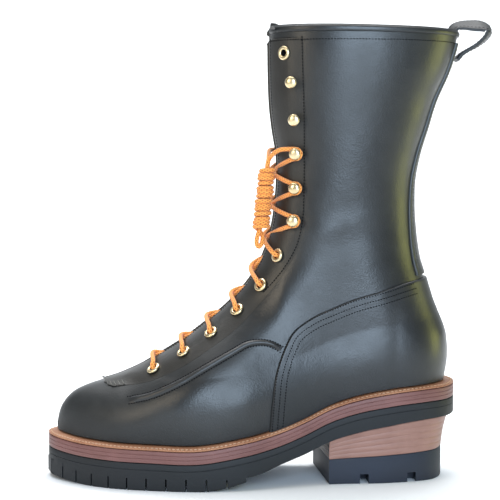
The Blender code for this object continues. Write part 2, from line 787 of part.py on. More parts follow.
# Tongue behind the throat, fuller where the throat leaves it free
TONGUE_LEVELS = list(np.linspace(THROAT_LEVEL + 0.4, COLLAR_LEVEL + 0.35, 15))
tongue_rows = []
for level in TONGUE_LEVELS:
    wide = float(throat_gap(front_z(level))) + 9.0
    sides = []
    for side in (-1, 1):
        reach = half_width_share(level, side, wide)
        x, z = row(level, reach * np.linspace(0.0, 1.0, 6) ** 2)
        y = skin(x, z, side)
        y[0] = middle_y(x[0])
        sides.append(np.stack([x, y, z], axis=1))
    tongue_rows.append(np.concatenate([sides[0][::-1], sides[1][1:]]))


def tongue_offset(depth):
    """Offset of the tongue, which rises between the throat's edges."""

    def at(p):
        """Offset at a point."""
        off = abs(p[1] - float(middle_y(p[0])))
        gap = float(throat_gap(p[2])) if p[2] > 80 else 1.0
        lift = 2.0 * float(ramp(p[2], 215.0, 245.0)) * float(1 - ramp(off, gap * 0.25, gap * 0.8))
        return depth + lift

    return at


shell("tongue", np.array(tongue_rows), "black_leather", tongue_offset(-5.6), tongue_offset(-3.6))

# Overlays, cut between two larger forms of the upper
OVERLAY = 1.9
FAR = 90.0


def overlay(name, tool, inner, outer):
    """Part of the wall between two offsets of the upper that lies inside a tool."""
    form = shell(name, UPPER_ROWS, "black_leather", inner, outer)
    boolean(form, tool, "INTERSECT")
    return form


def side_tool(name, ring, low, high):
    """Side-view polygon drawn out across the boot."""
    return prism(name, [(x, low, z) for x, z in ring], [(x, high, z) for x, z in ring], None, TOOLS)


counter_low = [(x, float(feather(x)) + 0.8) for x in np.linspace(175.0, 18.0, 20)]
counter_ring = [p for p in COUNTER_EDGE if p[1] > feather(p[0]) + 1.0] + counter_low
overlay("counter", side_tool("counter_form", counter_ring, -FAR, FAR), SKIN_GAP, OVERLAY + 0.4)

BACK_Y = 4.4
back_ring = [(BACK_Y - half, z) for z, half in BACKSTAY] + [(BACK_Y + half, z) for z, half in BACKSTAY[::-1]]
back_front, back_end = ([(x, y, z) for y, z in back_ring] for x in (88.0, 190.0))
overlay("backstay", prism("backstay_form", back_front, back_end, None, TOOLS), SKIN_GAP, OVERLAY)

EYE_FRONT = EYESTAY_EDGE[0][0]
EYE_TOP = BACKSTAY_TOP + 2.0
eye_ring = [(EYE_FRONT, 110.0)] + EYESTAY_EDGE[:-1] + [(36.7, EYE_TOP), (EYE_FRONT, EYE_TOP)]
eyestay = overlay("eyestay", side_tool("eyestay_form", eye_ring, -FAR, FAR), SKIN_GAP, OVERLAY)

SEAM_HALF = 2.4
seam_line = hermite(VAMP_SEAM)
seam_x = np.linspace(VAMP_SEAM[0][0], VAMP_SEAM[-1][0] - 1.0, 14)
seam_z = seam_line(seam_x)
seam_slope = np.gradient(seam_z, seam_x)
seam_run = np.hypot(1.0, seam_slope)
SEAM_TALL = 0.9
seam_ring = []
for off in (-SEAM_HALF, SEAM_HALF):
    side = np.stack([seam_x - off * seam_slope / seam_run, seam_z + off / seam_run], axis=1)
    seam_ring += [tuple(p) for p in (side if off < 0 else side[::-1])]
for name, low, high in (("lateral", -FAR, 0.0), ("medial", 0.0, FAR)):
    tool = side_tool(f"seam_form_{name}", seam_ring, low, high)
    overlay(f"vamp_seam_{name}", tool, SKIN_GAP, SKIN_GAP + SEAM_TALL)

# Pull strap, a band bent over the collar's back
strap = np.array(STRAP)
ahead = np.gradient(strap, axis=0)
ahead /= np.linalg.norm(ahead, axis=1)[:, None]
normal = np.stack([-ahead[:, 1], ahead[:, 0]], axis=1)
STRAP_Y = 4.0
bm = bmesh.new()
bands = []
for face in (-0.5, 0.5):
    for edge in (-0.5, 0.5):
        line = strap + normal * face * STRAP_THICK
        y = STRAP_Y + edge * STRAP_WIDTH
        bands.append([bm.verts.new(to_world((px, y, pz))) for px, pz in line])
for a, b in ((0, 1), (1, 3), (3, 2), (2, 0)):
    for i in range(len(strap) - 1):
        bm.faces.new((bands[a][i], bands[a][i + 1], bands[b][i + 1], bands[b][i]))
for i in (0, len(strap) - 1):
    bm.faces.new((bands[0][i], bands[1][i], bands[3][i], bands[2][i]))
add_object("pull_loop", bm, "black_leather")

# Lace holders: flanged eyelets in holes, hooks on the eyestay
FLANGE_LOW = OVERLAY + 0.5
HOLDER_SIDES = 6
HOOK_NECK_RADIUS = 1.5
holes = []
for side, name in ((-1, "l"), (1, "m")):
    for k, (x, z) in enumerate(EYELETS):
        base, axis = skin_frame(x, z, side)
        drill = [(-9.0, 0.0), (-9.0, HOLE_RADIUS), (9.0, HOLE_RADIUS), (9.0, 0.0)]
        holes.append(turned(f"hole_{name}{k}", base, axis, drill, HOLDER_SIDES, None, TOOLS))
        profile = [
            (-WALL - 0.4, 2.2), (-WALL - 0.4, 2.75), (FLANGE_LOW, 2.75), (FLANGE_LOW, EYELET_RADIUS),
            (FLANGE_LOW + 1.0, 2.5),
        ]
        turned(f"eyelet_{name}{k + 1}", base, axis, profile, HOLDER_SIDES, "brass")
    for k, (x, z) in enumerate(HOOKS):
        base, axis = skin_frame(x, z, side)
        profile = [
            (FLANGE_LOW, 0.0), (FLANGE_LOW, 3.6), (FLANGE_LOW + 0.9, 3.2),
            (FLANGE_LOW + 1.0, HOOK_NECK_RADIUS), (FLANGE_LOW + 5.0, HOOK_NECK_RADIUS),
            (FLANGE_LOW + 5.2, HOOK_RADIUS), (FLANGE_LOW + 7.0, 3.2), (FLANGE_LOW + 7.8, 0.0),
        ]
        turned(f"hook_{name}{k + 1}", base, axis, profile, HOLDER_SIDES, "brass")
hole_tool = join_meshes("lace_holes", holes, None, TOOLS)
boolean(upper, hole_tool, "DIFFERENCE")
boolean(eyestay, hole_tool, "DIFFERENCE")

# Lace between the two rows, crossing over the throat
LACE_OVER = FLANGE_LOW + 1.0 + 1.0 + LACE_RADIUS
HOOK_NECK = FLANGE_LOW + 1.0 + 0.6 + LACE_RADIUS
FLANKS = {}
for side in (-1, 1):
    spots = []
    for x, z in EYELETS[:6]:
        base, axis = skin_frame(x, z, side)
        spots.append(base + axis * LACE_OVER)
    for x, z in HOOKS[:3]:
        base, axis = skin_frame(x, z, side)
        toward = Vector((-0.75, -0.6 * side, 0.0))
        toward = (toward - axis * toward.dot(axis)).normalized()
        spots.append(base + axis * HOOK_NECK + toward * (HOOK_NECK_RADIUS + 0.35 + LACE_RADIUS))
    FLANKS[side] = spots


def over_throat(a, b, lift):
    """Lace path from one side to the other above the throat."""
    mid = (a + b) / 2
    low = np.interp(mid.z, FINE_Z, FINE_X)
    level = float(np.interp(mid.z, FINE_Z, FINE))
    near, far = level - 0.05, level + 0.05
    tangent = Vector((front_x(far) - front_x(near), 0.0, front_z(far) - front_z(near)))
    out = Vector((-tangent.z, 0.0, tangent.x)).normalized()
    top = Vector((float(low), float(middle_y(low)), mid.z)) + out * lift
    return [a, (a + top) / 2 + out * 3.9, top, (b + top) / 2 + out * 3.9, b]


LACE_STEP = 2.1
LACE_SIDES = 5
for k in range(8):
    crossed = []
    for side in (-1, 1):
        ends = []
        for hand, at, way in ((side, k, 1.0), (-side, k + 1, -1.0)):
            turn = (FLANKS[hand][k + 1] - FLANKS[hand][k]).normalized()
            ends.append(FLANKS[hand][at] + turn * way * LACE_STEP)
        lift = (5.0 if k < 6 else 4.4) + (0.7 if side > 0 else 0.0)
        path = over_throat(ends[0], ends[1], lift)
        stuff, place = ("orange_lace", BOOT) if side < 0 else (None, TOOLS)
        name = f"lace_{k + 1}" if side < 0 else f"lace_tool_{k + 1}"
        crossed.append(tube(name, path, LACE_RADIUS, LACE_SIDES, stuff, place))
    boolean(crossed[0], crossed[1], "UNION")

# Wound-up rest of the lace in front of the throat
HANK_TOP = Vector((12.6, -17.0, 229.0))
HANK_LOW = Vector((7.4, -18.5, 182.5))
HANK_RADIUS = 5.5
axis = HANK_TOP - HANK_LOW
profile = [(0.0, 0.0), (0.0, 3.2)]
for k in range(8):
    profile.append((axis.length * (k + 0.5) / 8, HANK_RADIUS + (0.3 if k % 2 else -0.3)))
profile += [(axis.length, 3.6), (axis.length, 0.0)]
turned("lace_hank", HANK_LOW, axis, profile, 10, "orange_lace")
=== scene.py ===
"""Left lace-to-toe logger boot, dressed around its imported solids.

Lengths are in millimetres on the last (toe at -X, outer side at -Y) and become metres in the meshes.
"""

import logging
import math
from collections.abc import Callable, Sequence
from dataclasses import dataclass
from enum import Enum

import bmesh
import bpy
import numpy as np
from bpy.types import Material, Mesh, Node, NodeSocket, NodeTree, Object, Scene
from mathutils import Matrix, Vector

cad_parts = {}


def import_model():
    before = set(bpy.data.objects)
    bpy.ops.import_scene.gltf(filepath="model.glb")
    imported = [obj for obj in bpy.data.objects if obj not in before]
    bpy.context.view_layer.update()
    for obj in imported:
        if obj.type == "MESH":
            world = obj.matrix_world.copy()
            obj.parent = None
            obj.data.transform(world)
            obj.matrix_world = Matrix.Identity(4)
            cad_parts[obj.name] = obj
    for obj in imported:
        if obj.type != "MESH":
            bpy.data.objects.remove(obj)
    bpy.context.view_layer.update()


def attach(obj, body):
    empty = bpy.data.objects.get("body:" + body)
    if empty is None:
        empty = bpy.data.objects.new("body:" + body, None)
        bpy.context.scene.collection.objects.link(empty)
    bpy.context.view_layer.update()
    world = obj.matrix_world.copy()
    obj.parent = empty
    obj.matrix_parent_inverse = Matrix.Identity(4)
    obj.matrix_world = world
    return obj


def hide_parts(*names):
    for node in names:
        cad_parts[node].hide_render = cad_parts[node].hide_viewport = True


LOG = logging.getLogger("boot")
MM = 0.001
CENTRE_X = 16.4
BODY = "root"
Array = np.ndarray
Rows = Sequence[tuple[float, ...]]


class Side(Enum):
    """The two sides of the foot, by the sign of their y."""

    OUTER = -1
    INNER = 1


class Slot(Enum):
    """Material slots of the record."""

    LEATHER = "black_leather"
    RUBBER = "black_rubber"
    WELT = "tan_welt"
    MIDSOLE = "brown_midsole"
    STACK = "brown_stack"
    LINING = "inner_leather"
    BRASS = "brass"
    LACE = "orange_lace"


class SmoothTable:
    """Smooth curve through two columns of a table."""

    def __init__(self, rows: Rows, key: int = 0, value: int = 1) -> None:
        """Keep the columns and their slopes.

        Args:
            rows: table, sorted by its key column.
            key: column of the places.
            value: column of the values.
        """
        self.keys = np.array([row[key] for row in rows], float)
        self.values = np.array([row[value] for row in rows], float)
        self.slopes = np.gradient(self.values, self.keys)

    def __call__(self, x: Array | float) -> Array:
        """Value of the curve at x.

        Args:
            x: places along the key column.

        Returns:
            The value at each place.
        """
        i = np.clip(np.searchsorted(self.keys, x) - 1, 0, len(self.keys) - 2)
        h = self.keys[i + 1] - self.keys[i]
        t = np.clip((x - self.keys[i]) / h, 0.0, 1.0)
        low = (2 * t**3 - 3 * t**2 + 1) * self.values[i] + (t**3 - 2 * t**2 + t) * h * self.slopes[i]
        high = (3 * t**2 - 2 * t**3) * self.values[i + 1] + (t**3 - t**2) * h * self.slopes[i + 1]
        return low + high


def ramp(x: Array | float, low: float, high: float) -> Array:
    """Smooth step from 0 at low to 1 at high."""
    t = np.clip((x - low) / (high - low), 0.0, 1.0)
    return t * t * (3 - 2 * t)


def run_of(points: Array) -> Array:
    """Distance of each point of a polyline from its start, along the line."""
    return np.concatenate([[0.0], np.cumsum(np.linalg.norm(np.diff(points, axis=0), axis=1))])


def at_run(points: Array, run: Array, at: Array) -> Array:
    """Points of a polyline at distances from its start."""
    return np.stack([np.interp(at, run, c) for c in points.T], axis=1)


def heading(path: Array) -> Array:
    """Unit direction of a path at each of its points."""
    ahead = np.gradient(path, axis=0)
    return ahead / np.linalg.norm(ahead, axis=1)[:, None]


def bands(loops: int, count: int, closed: bool = False) -> list[tuple[int, ...]]:
    """Quads between neighbouring loops of points.

    Args:
        loops: number of loops.
        count: points of each loop.
        closed: join the last loop to the first.

    Returns:
        The corner numbers of each quad.
    """
    pairs = [(i, (i + 1) % loops) for i in range(loops if closed else loops - 1)]
    return [
        (a * count + k, a * count + (k + 1) % count, b * count + (k + 1) % count, b * count + k)
        for a, b in pairs for k in range(count)
    ]


def resample(points: Array, count: int) -> Array:
    """Points at even distances along a polyline.

    Args:
        points: corners of the polyline.
        count: number of points wanted.

    Returns:
        Array of count points.
    """
    points = np.asarray(points, float)
    run = run_of(points)
    return at_run(points, run, np.linspace(0.0, run[-1], count))


def spline(points: Sequence[Sequence[float]], per_span: int) -> Array:
    """Smooth path through points (centripetal Catmull-Rom).

    Args:
        points: points that the path goes through.
        per_span: samples between two neighbours.

    Returns:
        Array of points along the path.
    """
    p = np.asarray(points, float)
    p = np.concatenate([[2 * p[0] - p[1]], p, [2 * p[-1] - p[-2]]])
    out = []
    for i in range(1, len(p) - 2):
        t = np.zeros(4)
        for k in range(1, 4):
            t[k] = t[k - 1] + max(np.linalg.norm(p[i - 1 + k] - p[i - 2 + k]), 1e-6) ** 0.5
        for u in np.linspace(t[1], t[2], per_span, endpoint=False):
            a = [p[i - 1 + k] + (p[i + k] - p[i - 1 + k]) * (u - t[k]) / (t[k + 1] - t[k]) for k in range(3)]
            b = [a[k] + (a[k + 1] - a[k]) * (u - t[k]) / (t[k + 2] - t[k]) for k in range(2)]
            out.append(b[0] + (b[1] - b[0]) * (u - t[1]) / (t[2] - t[1]))
    return np.array(out + [p[-2]])


@dataclass
class SoleForm:
    """Outline and heights of the sole."""

    length: float = 301.5
    toe_x: float = -149.0
    spring: float = 3.2
    spring_x: float = -108.0
    spring_run: float = 41.0
    arch_x: float = -34.0
    arch_run: float = 36.0
    arch_power: float = 1.6
    lug_height: float = 8.6
    midsole_thick: float = 8.8
    welt_thick: float = 2.4
    gap: float = 0.3
    sag: float = 0.4
    plan: Rows = (
        (0.0, -8.5, 8.5), (5.0, 8.5, 24.5), (13.0, 18.0, 33.0), (25.0, 29.0, 40.5), (51.0, 45.0, 50.0),
        (81.0, 54.0, 57.6), (98.0, 57.3, 58.7), (117.0, 58.7, 57.0), (143.5, 57.0, 47.5),
        (170.0, 50.0, 37.8), (203.0, 42.0, 41.0), (249.0, 39.5, 46.5), (278.0, 32.5, 41.5),
        (289.0, 26.5, 36.5), (301.5, -5.0, 5.0),
    )
    side: Rows = (
        (-149.0, 11.8, 22.6), (-128.0, 9.6, 20.6), (-105.0, 8.6, 19.8), (-74.0, 8.6, 19.4),
        (-36.0, 8.6, 19.4), (-11.0, 8.8, 23.3), (5.0, 11.4, 26.4), (21.0, 17.6, 30.7),
        (37.5, 23.6, 36.8), (58.0, 32.5, 46.0), (78.0, 38.3, 52.0), (100.0, 42.6, 56.0),
        (127.0, 46.2, 58.5), (152.5, 47.5, 59.6),
    )

    def __post_init__(self) -> None:
        """Make the curves of the tables."""
        angles = [(math.acos(1 - 2 * d / self.length), a, b) for d, a, b in self.plan]
        self.edges = SmoothTable(angles, 0, 1), SmoothTable(angles, 0, 2)
        self.under = SmoothTable(self.side, 0, 1)
        self.over = SmoothTable(self.side, 0, 2)

    def outline(self, inset: float, angles: Array) -> tuple[Array, Array]:
        """Edge points of the plan, moved inwards.

        Args:
            inset: distance inwards.
            angles: places along the sole, 0 at the toe and pi at the heel.

        Returns:
            Outer and inner edge, each with one (x, y) row for each angle.
        """
        fine = np.linspace(0.0, math.pi, 801)
        x = self.toe_x + self.length * (1 - np.cos(fine)) / 2
        made = []
        for y, sign in ((-self.edges[0](fine), 1.0), (self.edges[1](fine), -1.0)):
            dx, dy = np.gradient(x, fine), np.gradient(y, fine)
            dx[0] = dx[-1] = 0.0
            run = np.hypot(dx, dy)
            px, py = x - sign * inset * dy / run, y + sign * inset * dx / run
            made.append(np.stack([np.interp(angles, fine, px), np.interp(angles, fine, py)], axis=1))
        for end in (0, -1):
            made[0][end] = made[1][end] = (made[0][end] + made[1][end]) / 2
        return made[0], made[1]

    def ring(self, inset: float, count: int) -> Array:
        """Closed loop of the plan: the outer edge to the heel, then the inner edge back."""
        outer, inner = self.outline(inset, np.linspace(0.0, math.pi, count))
        return np.concatenate([outer, inner[-2:0:-1]])

    def welt_low(self, x: Array | float) -> Array:
        """Height of the welt's lower face."""
        return self.over(x) + self.midsole_thick + 2 * self.gap

    def welt_top(self, x: Array | float) -> Array:
        """Height of the welt's upper face."""
        return self.welt_low(x) + self.welt_thick

    def feather(self, x: Array | float) -> Array:
        """Height of the upper's lower edge."""
        return self.welt_top(x) + self.gap + self.sag

    def tread(self, x: Array | float) -> Array:
        """Height of the tread above the floor, which rises to the toe and to the arch.

        Args:
            x: places along the sole.

        Returns:
            The height at each place.
        """
        x = np.asarray(x, float)
        toe = self.spring * np.maximum(0.0, (self.spring_x - x) / self.spring_run) ** 2
        arch = np.maximum(0.0, (x - self.arch_x) / self.arch_run) ** self.arch_power
        return toe + self.lug_height * arch


@dataclass
class UpperForm:
    """Surface of the upper, from its sections in side view and its widths."""

    sole: SoleForm
    feather_inset: float = 6.5
    throat_level: float = 8.5
    bead_level: float = 23.3
    collar_level: float = 24.0
    toe_flat: float = 3.2
    vamp_foot: tuple[float, float] = (-84.5, 79.0)
    heel_full: float = 104.0
    fullness: float = 2.2
    swell: float = 2.2
    swell_tall: float = 46.0
    swell_wide: float = 30.0
    ankle_rise: tuple[float, float] = (22.0, 100.0)
    ankle_run: tuple[float, float] = (-60.0, 12.0)
    sections: Rows = (
        (-142.3, 35.0, 142.6, 72.0), (-142.4, 40.0, 143.4, 76.5), (-140.9, 47.5, 144.3, 81.5),
        (-138.0, 54.0, 144.9, 86.0), (-132.9, 60.2, 145.2, 90.5), (-126.1, 64.8, 145.2, 95.0),
        (-115.8, 68.9, 144.8, 100.5), (-100.5, 73.6, 143.8, 107.0), (-84.5, 79.0, 141.4, 114.0),
        (-70.5, 86.6, 138.4, 121.0), (-50.7, 98.6, 134.8, 130.0), (-31.7, 113.0, 131.8, 139.5),
        (-13.8, 128.8, 128.6, 150.0), (0.6, 145.6, 125.0, 162.0), (10.0, 162.5, 122.6, 176.5),
        (15.6, 179.5, 121.2, 191.0), (18.8, 197.5, 120.7, 205.0), (20.4, 217.0, 121.4, 221.0),
        (20.2, 237.0, 125.0, 239.0), (17.2, 256.0, 130.8, 258.0), (15.0, 275.0, 136.6, 277.0),
        (14.1, 297.0, 145.4, 297.0), (13.8, 313.0, 150.6, 313.0), (13.6, 322.6, 152.6, 321.2),
        (13.5, 330.4, 153.8, 327.6), (13.4, 345.0, 156.0, 342.0),
    )
    shaft: Rows = (
        (60.0, 37.0, 40.0, 42.0), (110.0, 37.0, 42.0, 46.0), (150.0, 36.5, 44.0, 50.0),
        (195.0, 37.0, 48.0, 51.0), (245.0, 40.5, 54.0, 56.0), (290.0, 44.0, 62.0, 64.0),
        (345.0, 46.0, 68.0, 70.0),
    )
    middle: Rows = (
        (-142.0, 8.3), (-110.0, 6.5), (-76.0, 4.5), (-30.0, 3.0), (20.0, 2.2), (80.0, 3.0), (145.0, 4.5),
    )
    throat: Rows = (
        (79.0, 0.3), (88.0, 4.2), (110.0, 6.2), (150.0, 8.0), (200.0, 9.5), (260.0, 11.0), (345.0, 12.5),
    )

    def __post_init__(self) -> None:
        """Make the curves of the tables and the fine profiles."""
        levels = [(i, *row) for i, row in enumerate(self.sections)]
        ends = (SmoothTable(levels, 0, c) for c in (1, 2, 3, 4))
        self.front_x, self.front_z, self.back_x, self.back_z = ends
        self.half, self.front_round, self.back_round = (SmoothTable(self.shaft, 0, c) for c in (1, 2, 3))
        self.middle_y = SmoothTable(self.middle)
        self.throat_gap = SmoothTable(self.throat)
        fine = np.linspace(0.0, len(self.sections) - 1.0, 900)
        self.fine_level, self.fine_x, self.fine_z = fine, self.front_x(fine), self.front_z(fine)
        top = int(np.argmax(self.fine_x)) + 1
        self.rise_x, self.rise_z = np.maximum.accumulate(self.fine_x[:top]), self.fine_z[:top]
        self.end_x, self.end_z = self.back_x(fine), np.maximum.accumulate(self.back_z(fine))
        self.foot = self.sole.outline(self.feather_inset, np.linspace(0.0, math.pi, 481))

    def skin(self, x: Array | float, z: Array | float, side: int) -> Array:
        """The upper's y at points of the side view.

        Args:
            x: places along the boot.
            z: heights.
            side: -1 for the outer side, 1 for the inner side.

        Returns:
            The y of each point.
        """
        x, z = np.asarray(x, float), np.asarray(z, float)
        foot = self.foot[0 if side < 0 else 1]
        mid = self.middle_y(x)
        plan = np.interp(np.minimum(x, self.heel_full), foot[:, 0], foot[:, 1])
        half = np.maximum(side * (plan - mid), 0.0)
        above = z - self.sole.feather(x)
        bulge = np.sin(math.pi * np.clip(above / self.swell_tall, 0.0, 1.0))
        half = half + self.swell * bulge * ramp(half, 0.0, self.swell_wide)
        blend = ramp(above, *self.ankle_rise) * ramp(x, *self.ankle_run)
        half = half * (1 - blend) + self.half(z) * blend
        down = np.interp(x, self.rise_x, self.rise_z) - z
        down = np.where((x < self.rise_x[-1]) & (down > -0.5), down, 1e4)
        low = self.vamp_foot[0] - (self.vamp_foot[1] - z) * self.toe_flat
        along = x - np.where(z < self.vamp_foot[1], low, np.interp(z, self.fine_z, self.fine_x))
        down, along = np.maximum(down, 0.0), np.maximum(along, 0.0)
        near = down * along / np.maximum(np.hypot(down, along), 1e-9)
        arch = 1 - np.clip(1 - near / self.front_round(z), 0.0, 1.0) ** self.fullness
        end = np.interp(z, self.end_z, self.end_x)
        heel = 1 - np.clip(1 - (end - x) / self.back_round(z), 0.0, 1.0) ** self.fullness
        power = 1 / self.fullness
        return mid + side * half * arch**power * np.maximum(heel, 0.0) ** power

    def row(self, level: float, share: Array | float) -> tuple[Array, Array]:
        """Side-view points of one section, from its front (share 0) to its back (share 1).

        Args:
            level: number of the section.
            share: shares of its length.

        Returns:
            The x and the z of each point.
        """
        fx, fz, bx, bz = self.front_x(level), self.front_z(level), self.back_x(level), self.back_z(level)
        x = fx + (bx - fx) * share
        weight = max(0.0, 1 - level / 9.0) ** 1.5
        low, high = self.sections[0][0], self.sections[0][2]

        def sag(at: Array | float) -> Array:
            """How far the feather line lies off a straight line."""
            rise = (self.sole.feather(high) - self.sole.feather(low)) / (high - low)
            return self.sole.feather(at) - self.sole.feather(low) - rise * (at - low)

        ends = sag(fx) * (1 - share) + sag(bx) * share
        return x, fz + (bz - fz) * share + weight * (sag(x) - ends)

    def place(self, level: float, share: Array, side: int) -> Array:
        """Points on the skin at shares of a section, with both ends on the middle line.

        Args:
            level: number of the section.
            share: shares of its length.
            side: -1 for the outer side, 1 for the inner side.

        Returns:
            One point for each share.
        """
        x, z = self.row(level, share)
        y = self.skin(x, z, side)
        y = np.where((share <= 0.0) | (share >= 1.0), self.middle_y(x), y)
        return np.stack([x, y, z], axis=1)

    def throat_share(self, level: float, side: int, extra: float = 0.0) -> float:
        """Share of a section where the throat's edge lies, moved outwards by extra.

        Args:
            level: number of the section.
            side: side of the boot.
            extra: distance from the edge.

        Returns:
            The share.
        """
        if level <= self.throat_level and extra == 0.0:
            return 0.0
        wide = float(self.throat_gap(self.front_z(level))) + extra
        share = np.linspace(0.0, 0.45, 1200)
        points = self.place(level, share, side)
        off = np.abs(points[:, 1] - self.middle_y(points[:, 0]))
        return float(np.interp(wide, np.maximum.accumulate(off), share))

    def strip(self, level: float, side: int, start: float, end: float, spread: Array) -> Array:
        """Points along a section between two shares, spread by arc length.

        Args:
            level: number of the section.
            side: side of the boot.
            start: first share.
            end: last share.
            spread: places from 0 to 1 between them.

        Returns:
            One point for each place.
        """
        fine = start + (end - start) * (1 - np.cos(np.linspace(0.0, math.pi, 321))) / 2
        points = self.place(level, fine, side)
        run = run_of(points)
        made = at_run(points, run, spread * run[-1])
        made[0], made[-1] = points[0], points[-1]
        return made

    def frame_at(self, x: float, z: float, side: int) -> tuple[Array, Array]:
        """Point and outward direction of the skin at a point of the side view.

        Args:
            x: place along the boot.
            z: height.
            side: side of the boot.

        Returns:
            The point and the direction.
        """
        step = 0.5
        y = float(self.skin(x, z, side))
        sx = float(self.skin(x + step, z, side) - self.skin(x - step, z, side)) / (2 * step)
        sz = float(self.skin(x, z + step, side) - self.skin(x, z - step, side)) / (2 * step)
        out = np.array((-sx, 1.0, -sz)) * side
        return np.array((x, y, z)), out / np.linalg.norm(out)

    def off(self, point: Array, side: int, height: float) -> Array:
        """A point of the skin moved outwards by a height."""
        return point + self.frame_at(point[0], point[2], side)[1] * height

    def lift(self, line: Array, side: int, height: float) -> Array:
        """Side-view points brought onto the skin and moved outwards by a height."""
        frames = [self.frame_at(float(x), float(z), side) for x, z in line]
        return np.array([base + out * height for base, out in frames])


def to_metres(points: Array) -> Array:
    """Points of the last in the boot's frame, in metres."""
    return (np.asarray(points, float) - (CENTRE_X, 0.0, 0.0)) * MM


def mesh_of(name: str, points: Array, faces: Sequence[Sequence[int]], sharp: float = 38.0) -> Mesh:
    """Mesh from points in millimetres, smooth but for its sharp edges.

    Args:
        name: name of the mesh.
        points: corners.
        faces: corner numbers of each face.
        sharp: angle above which an edge is sharp, in degrees.

    Returns:
        The mesh, with its faces turned outwards by the caller.
    """
    mesh = bpy.data.meshes.new(name)
    mesh.from_pydata(to_metres(points).tolist(), [], [list(f) for f in faces])
    mesh.update()
    mesh.shade_smooth()
    mesh.set_sharp_from_angle(angle=math.radians(sharp))
    return mesh


def turn_out(mesh: Mesh) -> Mesh:
    """Merge the doubles of a closed mesh and turn its faces outwards.

    Args:
        mesh: the mesh, which is changed.

    Returns:
        The same mesh.
    """
    bm = bmesh.new()
    bm.from_mesh(mesh)
    bmesh.ops.remove_doubles(bm, verts=bm.verts, dist=0.000002)
    bmesh.ops.recalc_face_normals(bm, faces=bm.faces)
    bm.to_mesh(mesh)
    bm.free()
    mesh.update()
    return mesh


def wall_mesh(
    name: str, form: UpperForm, rows: Array, outer: Array, inner: Array, keep: Array | None = None
) -> Mesh:
    """Closed wall between two offsets of a grid of points.

    Args:
        name: name of the mesh.
        form: form whose middle line tells inside from outside.
        rows: grid of points, (rows, columns, 3).
        outer: outward offset of the outer face at each point.
        inner: outward offset of the inner face at each point.
        keep: which cells of the grid are leather; all of them if None.

    Returns:
        The mesh, smooth shaded.
    """
    count_r, count_c, _ = rows.shape
    flat = rows.reshape(-1, 3)
    _, first, ids = np.unique(np.round(flat, 3), axis=0, return_index=True, return_inverse=True)
    ids = ids.reshape(count_r, count_c)
    base = flat[first]
    quads = np.stack([ids[:-1, :-1], ids[:-1, 1:], ids[1:, 1:], ids[1:, :-1]], axis=2)
    quads = quads[keep] if keep is not None else quads.reshape(-1, 4)
    across = np.cross(base[quads[:, 2]] - base[quads[:, 0]], base[quads[:, 3]] - base[quads[:, 1]])
    centre = base[quads].mean(axis=1)
    if np.sum(across[:, 1] * (centre[:, 1] - form.middle_y(centre[:, 0]))) < 0:
        quads, across = quads[:, ::-1], -across
    normal = np.zeros_like(base)
    for k in range(4):
        np.add.at(normal, quads[:, k], across)
    normal /= np.maximum(np.linalg.norm(normal, axis=1), 1e-9)[:, None]
    total = len(base)
    points = np.concatenate([
        base + normal * outer.reshape(-1)[first][:, None], base + normal * inner.reshape(-1)[first][:, None],
    ])
    faces, ahead = [], set()
    for quad in quads.tolist():
        ring = [v for k, v in enumerate(quad) if v != quad[k - 1]]
        if len(ring) > 2:
            faces.append(ring)
            ahead.update(zip(ring, ring[1:] + ring[:1]))
    walls = faces + [[v + total for v in reversed(ring)] for ring in faces]
    walls += [[b, a, a + total, b + total] for a, b in ahead if (b, a) not in ahead]
    used = sorted({v for ring in walls for v in ring})
    place = {v: i for i, v in enumerate(used)}
    return mesh_of(name, points[used], [[place[v] for v in ring] for ring in walls])


def stack_mesh(name: str, rings: Sequence[Array], ladder: bool = True) -> Mesh:
    """Solid through stacked closed loops, capped at both ends or joined into a ring.

    Args:
        name: name of the mesh.
        rings: loops with the same number of points; a ladder's loop has a toe and a heel point.
        ladder: cap the first and last loop; otherwise they are joined to each other.

    Returns:
        The mesh, with its faces outwards.
    """
    count = len(rings[0])
    faces = bands(len(rings), count, closed=not ladder)
    if ladder:
        half, odd = count // 2, count % 2
        for start in (0, (len(rings) - 1) * count):
            for k in range(half):
                ring = [k, k + 1, (count - k - 1 - odd) % count, (count - k - odd) % count]
                ring = [v for i, v in enumerate(ring) if v != ring[i - 1]]
                faces.append([start + v for v in ring])
    return turn_out(mesh_of(name, np.concatenate(rings), faces))


def lathe_mesh(name: str, profile: Rows, count: int, closed: bool = False) -> Mesh:
    """Turned shape about Z at the boot's origin, from (height, radius) rows.

    Args:
        name: name of the mesh.
        profile: its rows.
        count: corners of a ring.
        closed: join the last row to the first.

    Returns:
        The mesh, with its faces outwards.
    """
    angle = np.linspace(0.0, 2 * math.pi, count, endpoint=False)
    rings = [
        np.stack([r * np.cos(angle) + CENTRE_X, r * np.sin(angle), np.full(count, h)], axis=1)
        for h, r in profile
    ]
    return turn_out(mesh_of(name, np.concatenate(rings), bands(len(rings), count, closed), 50.0))


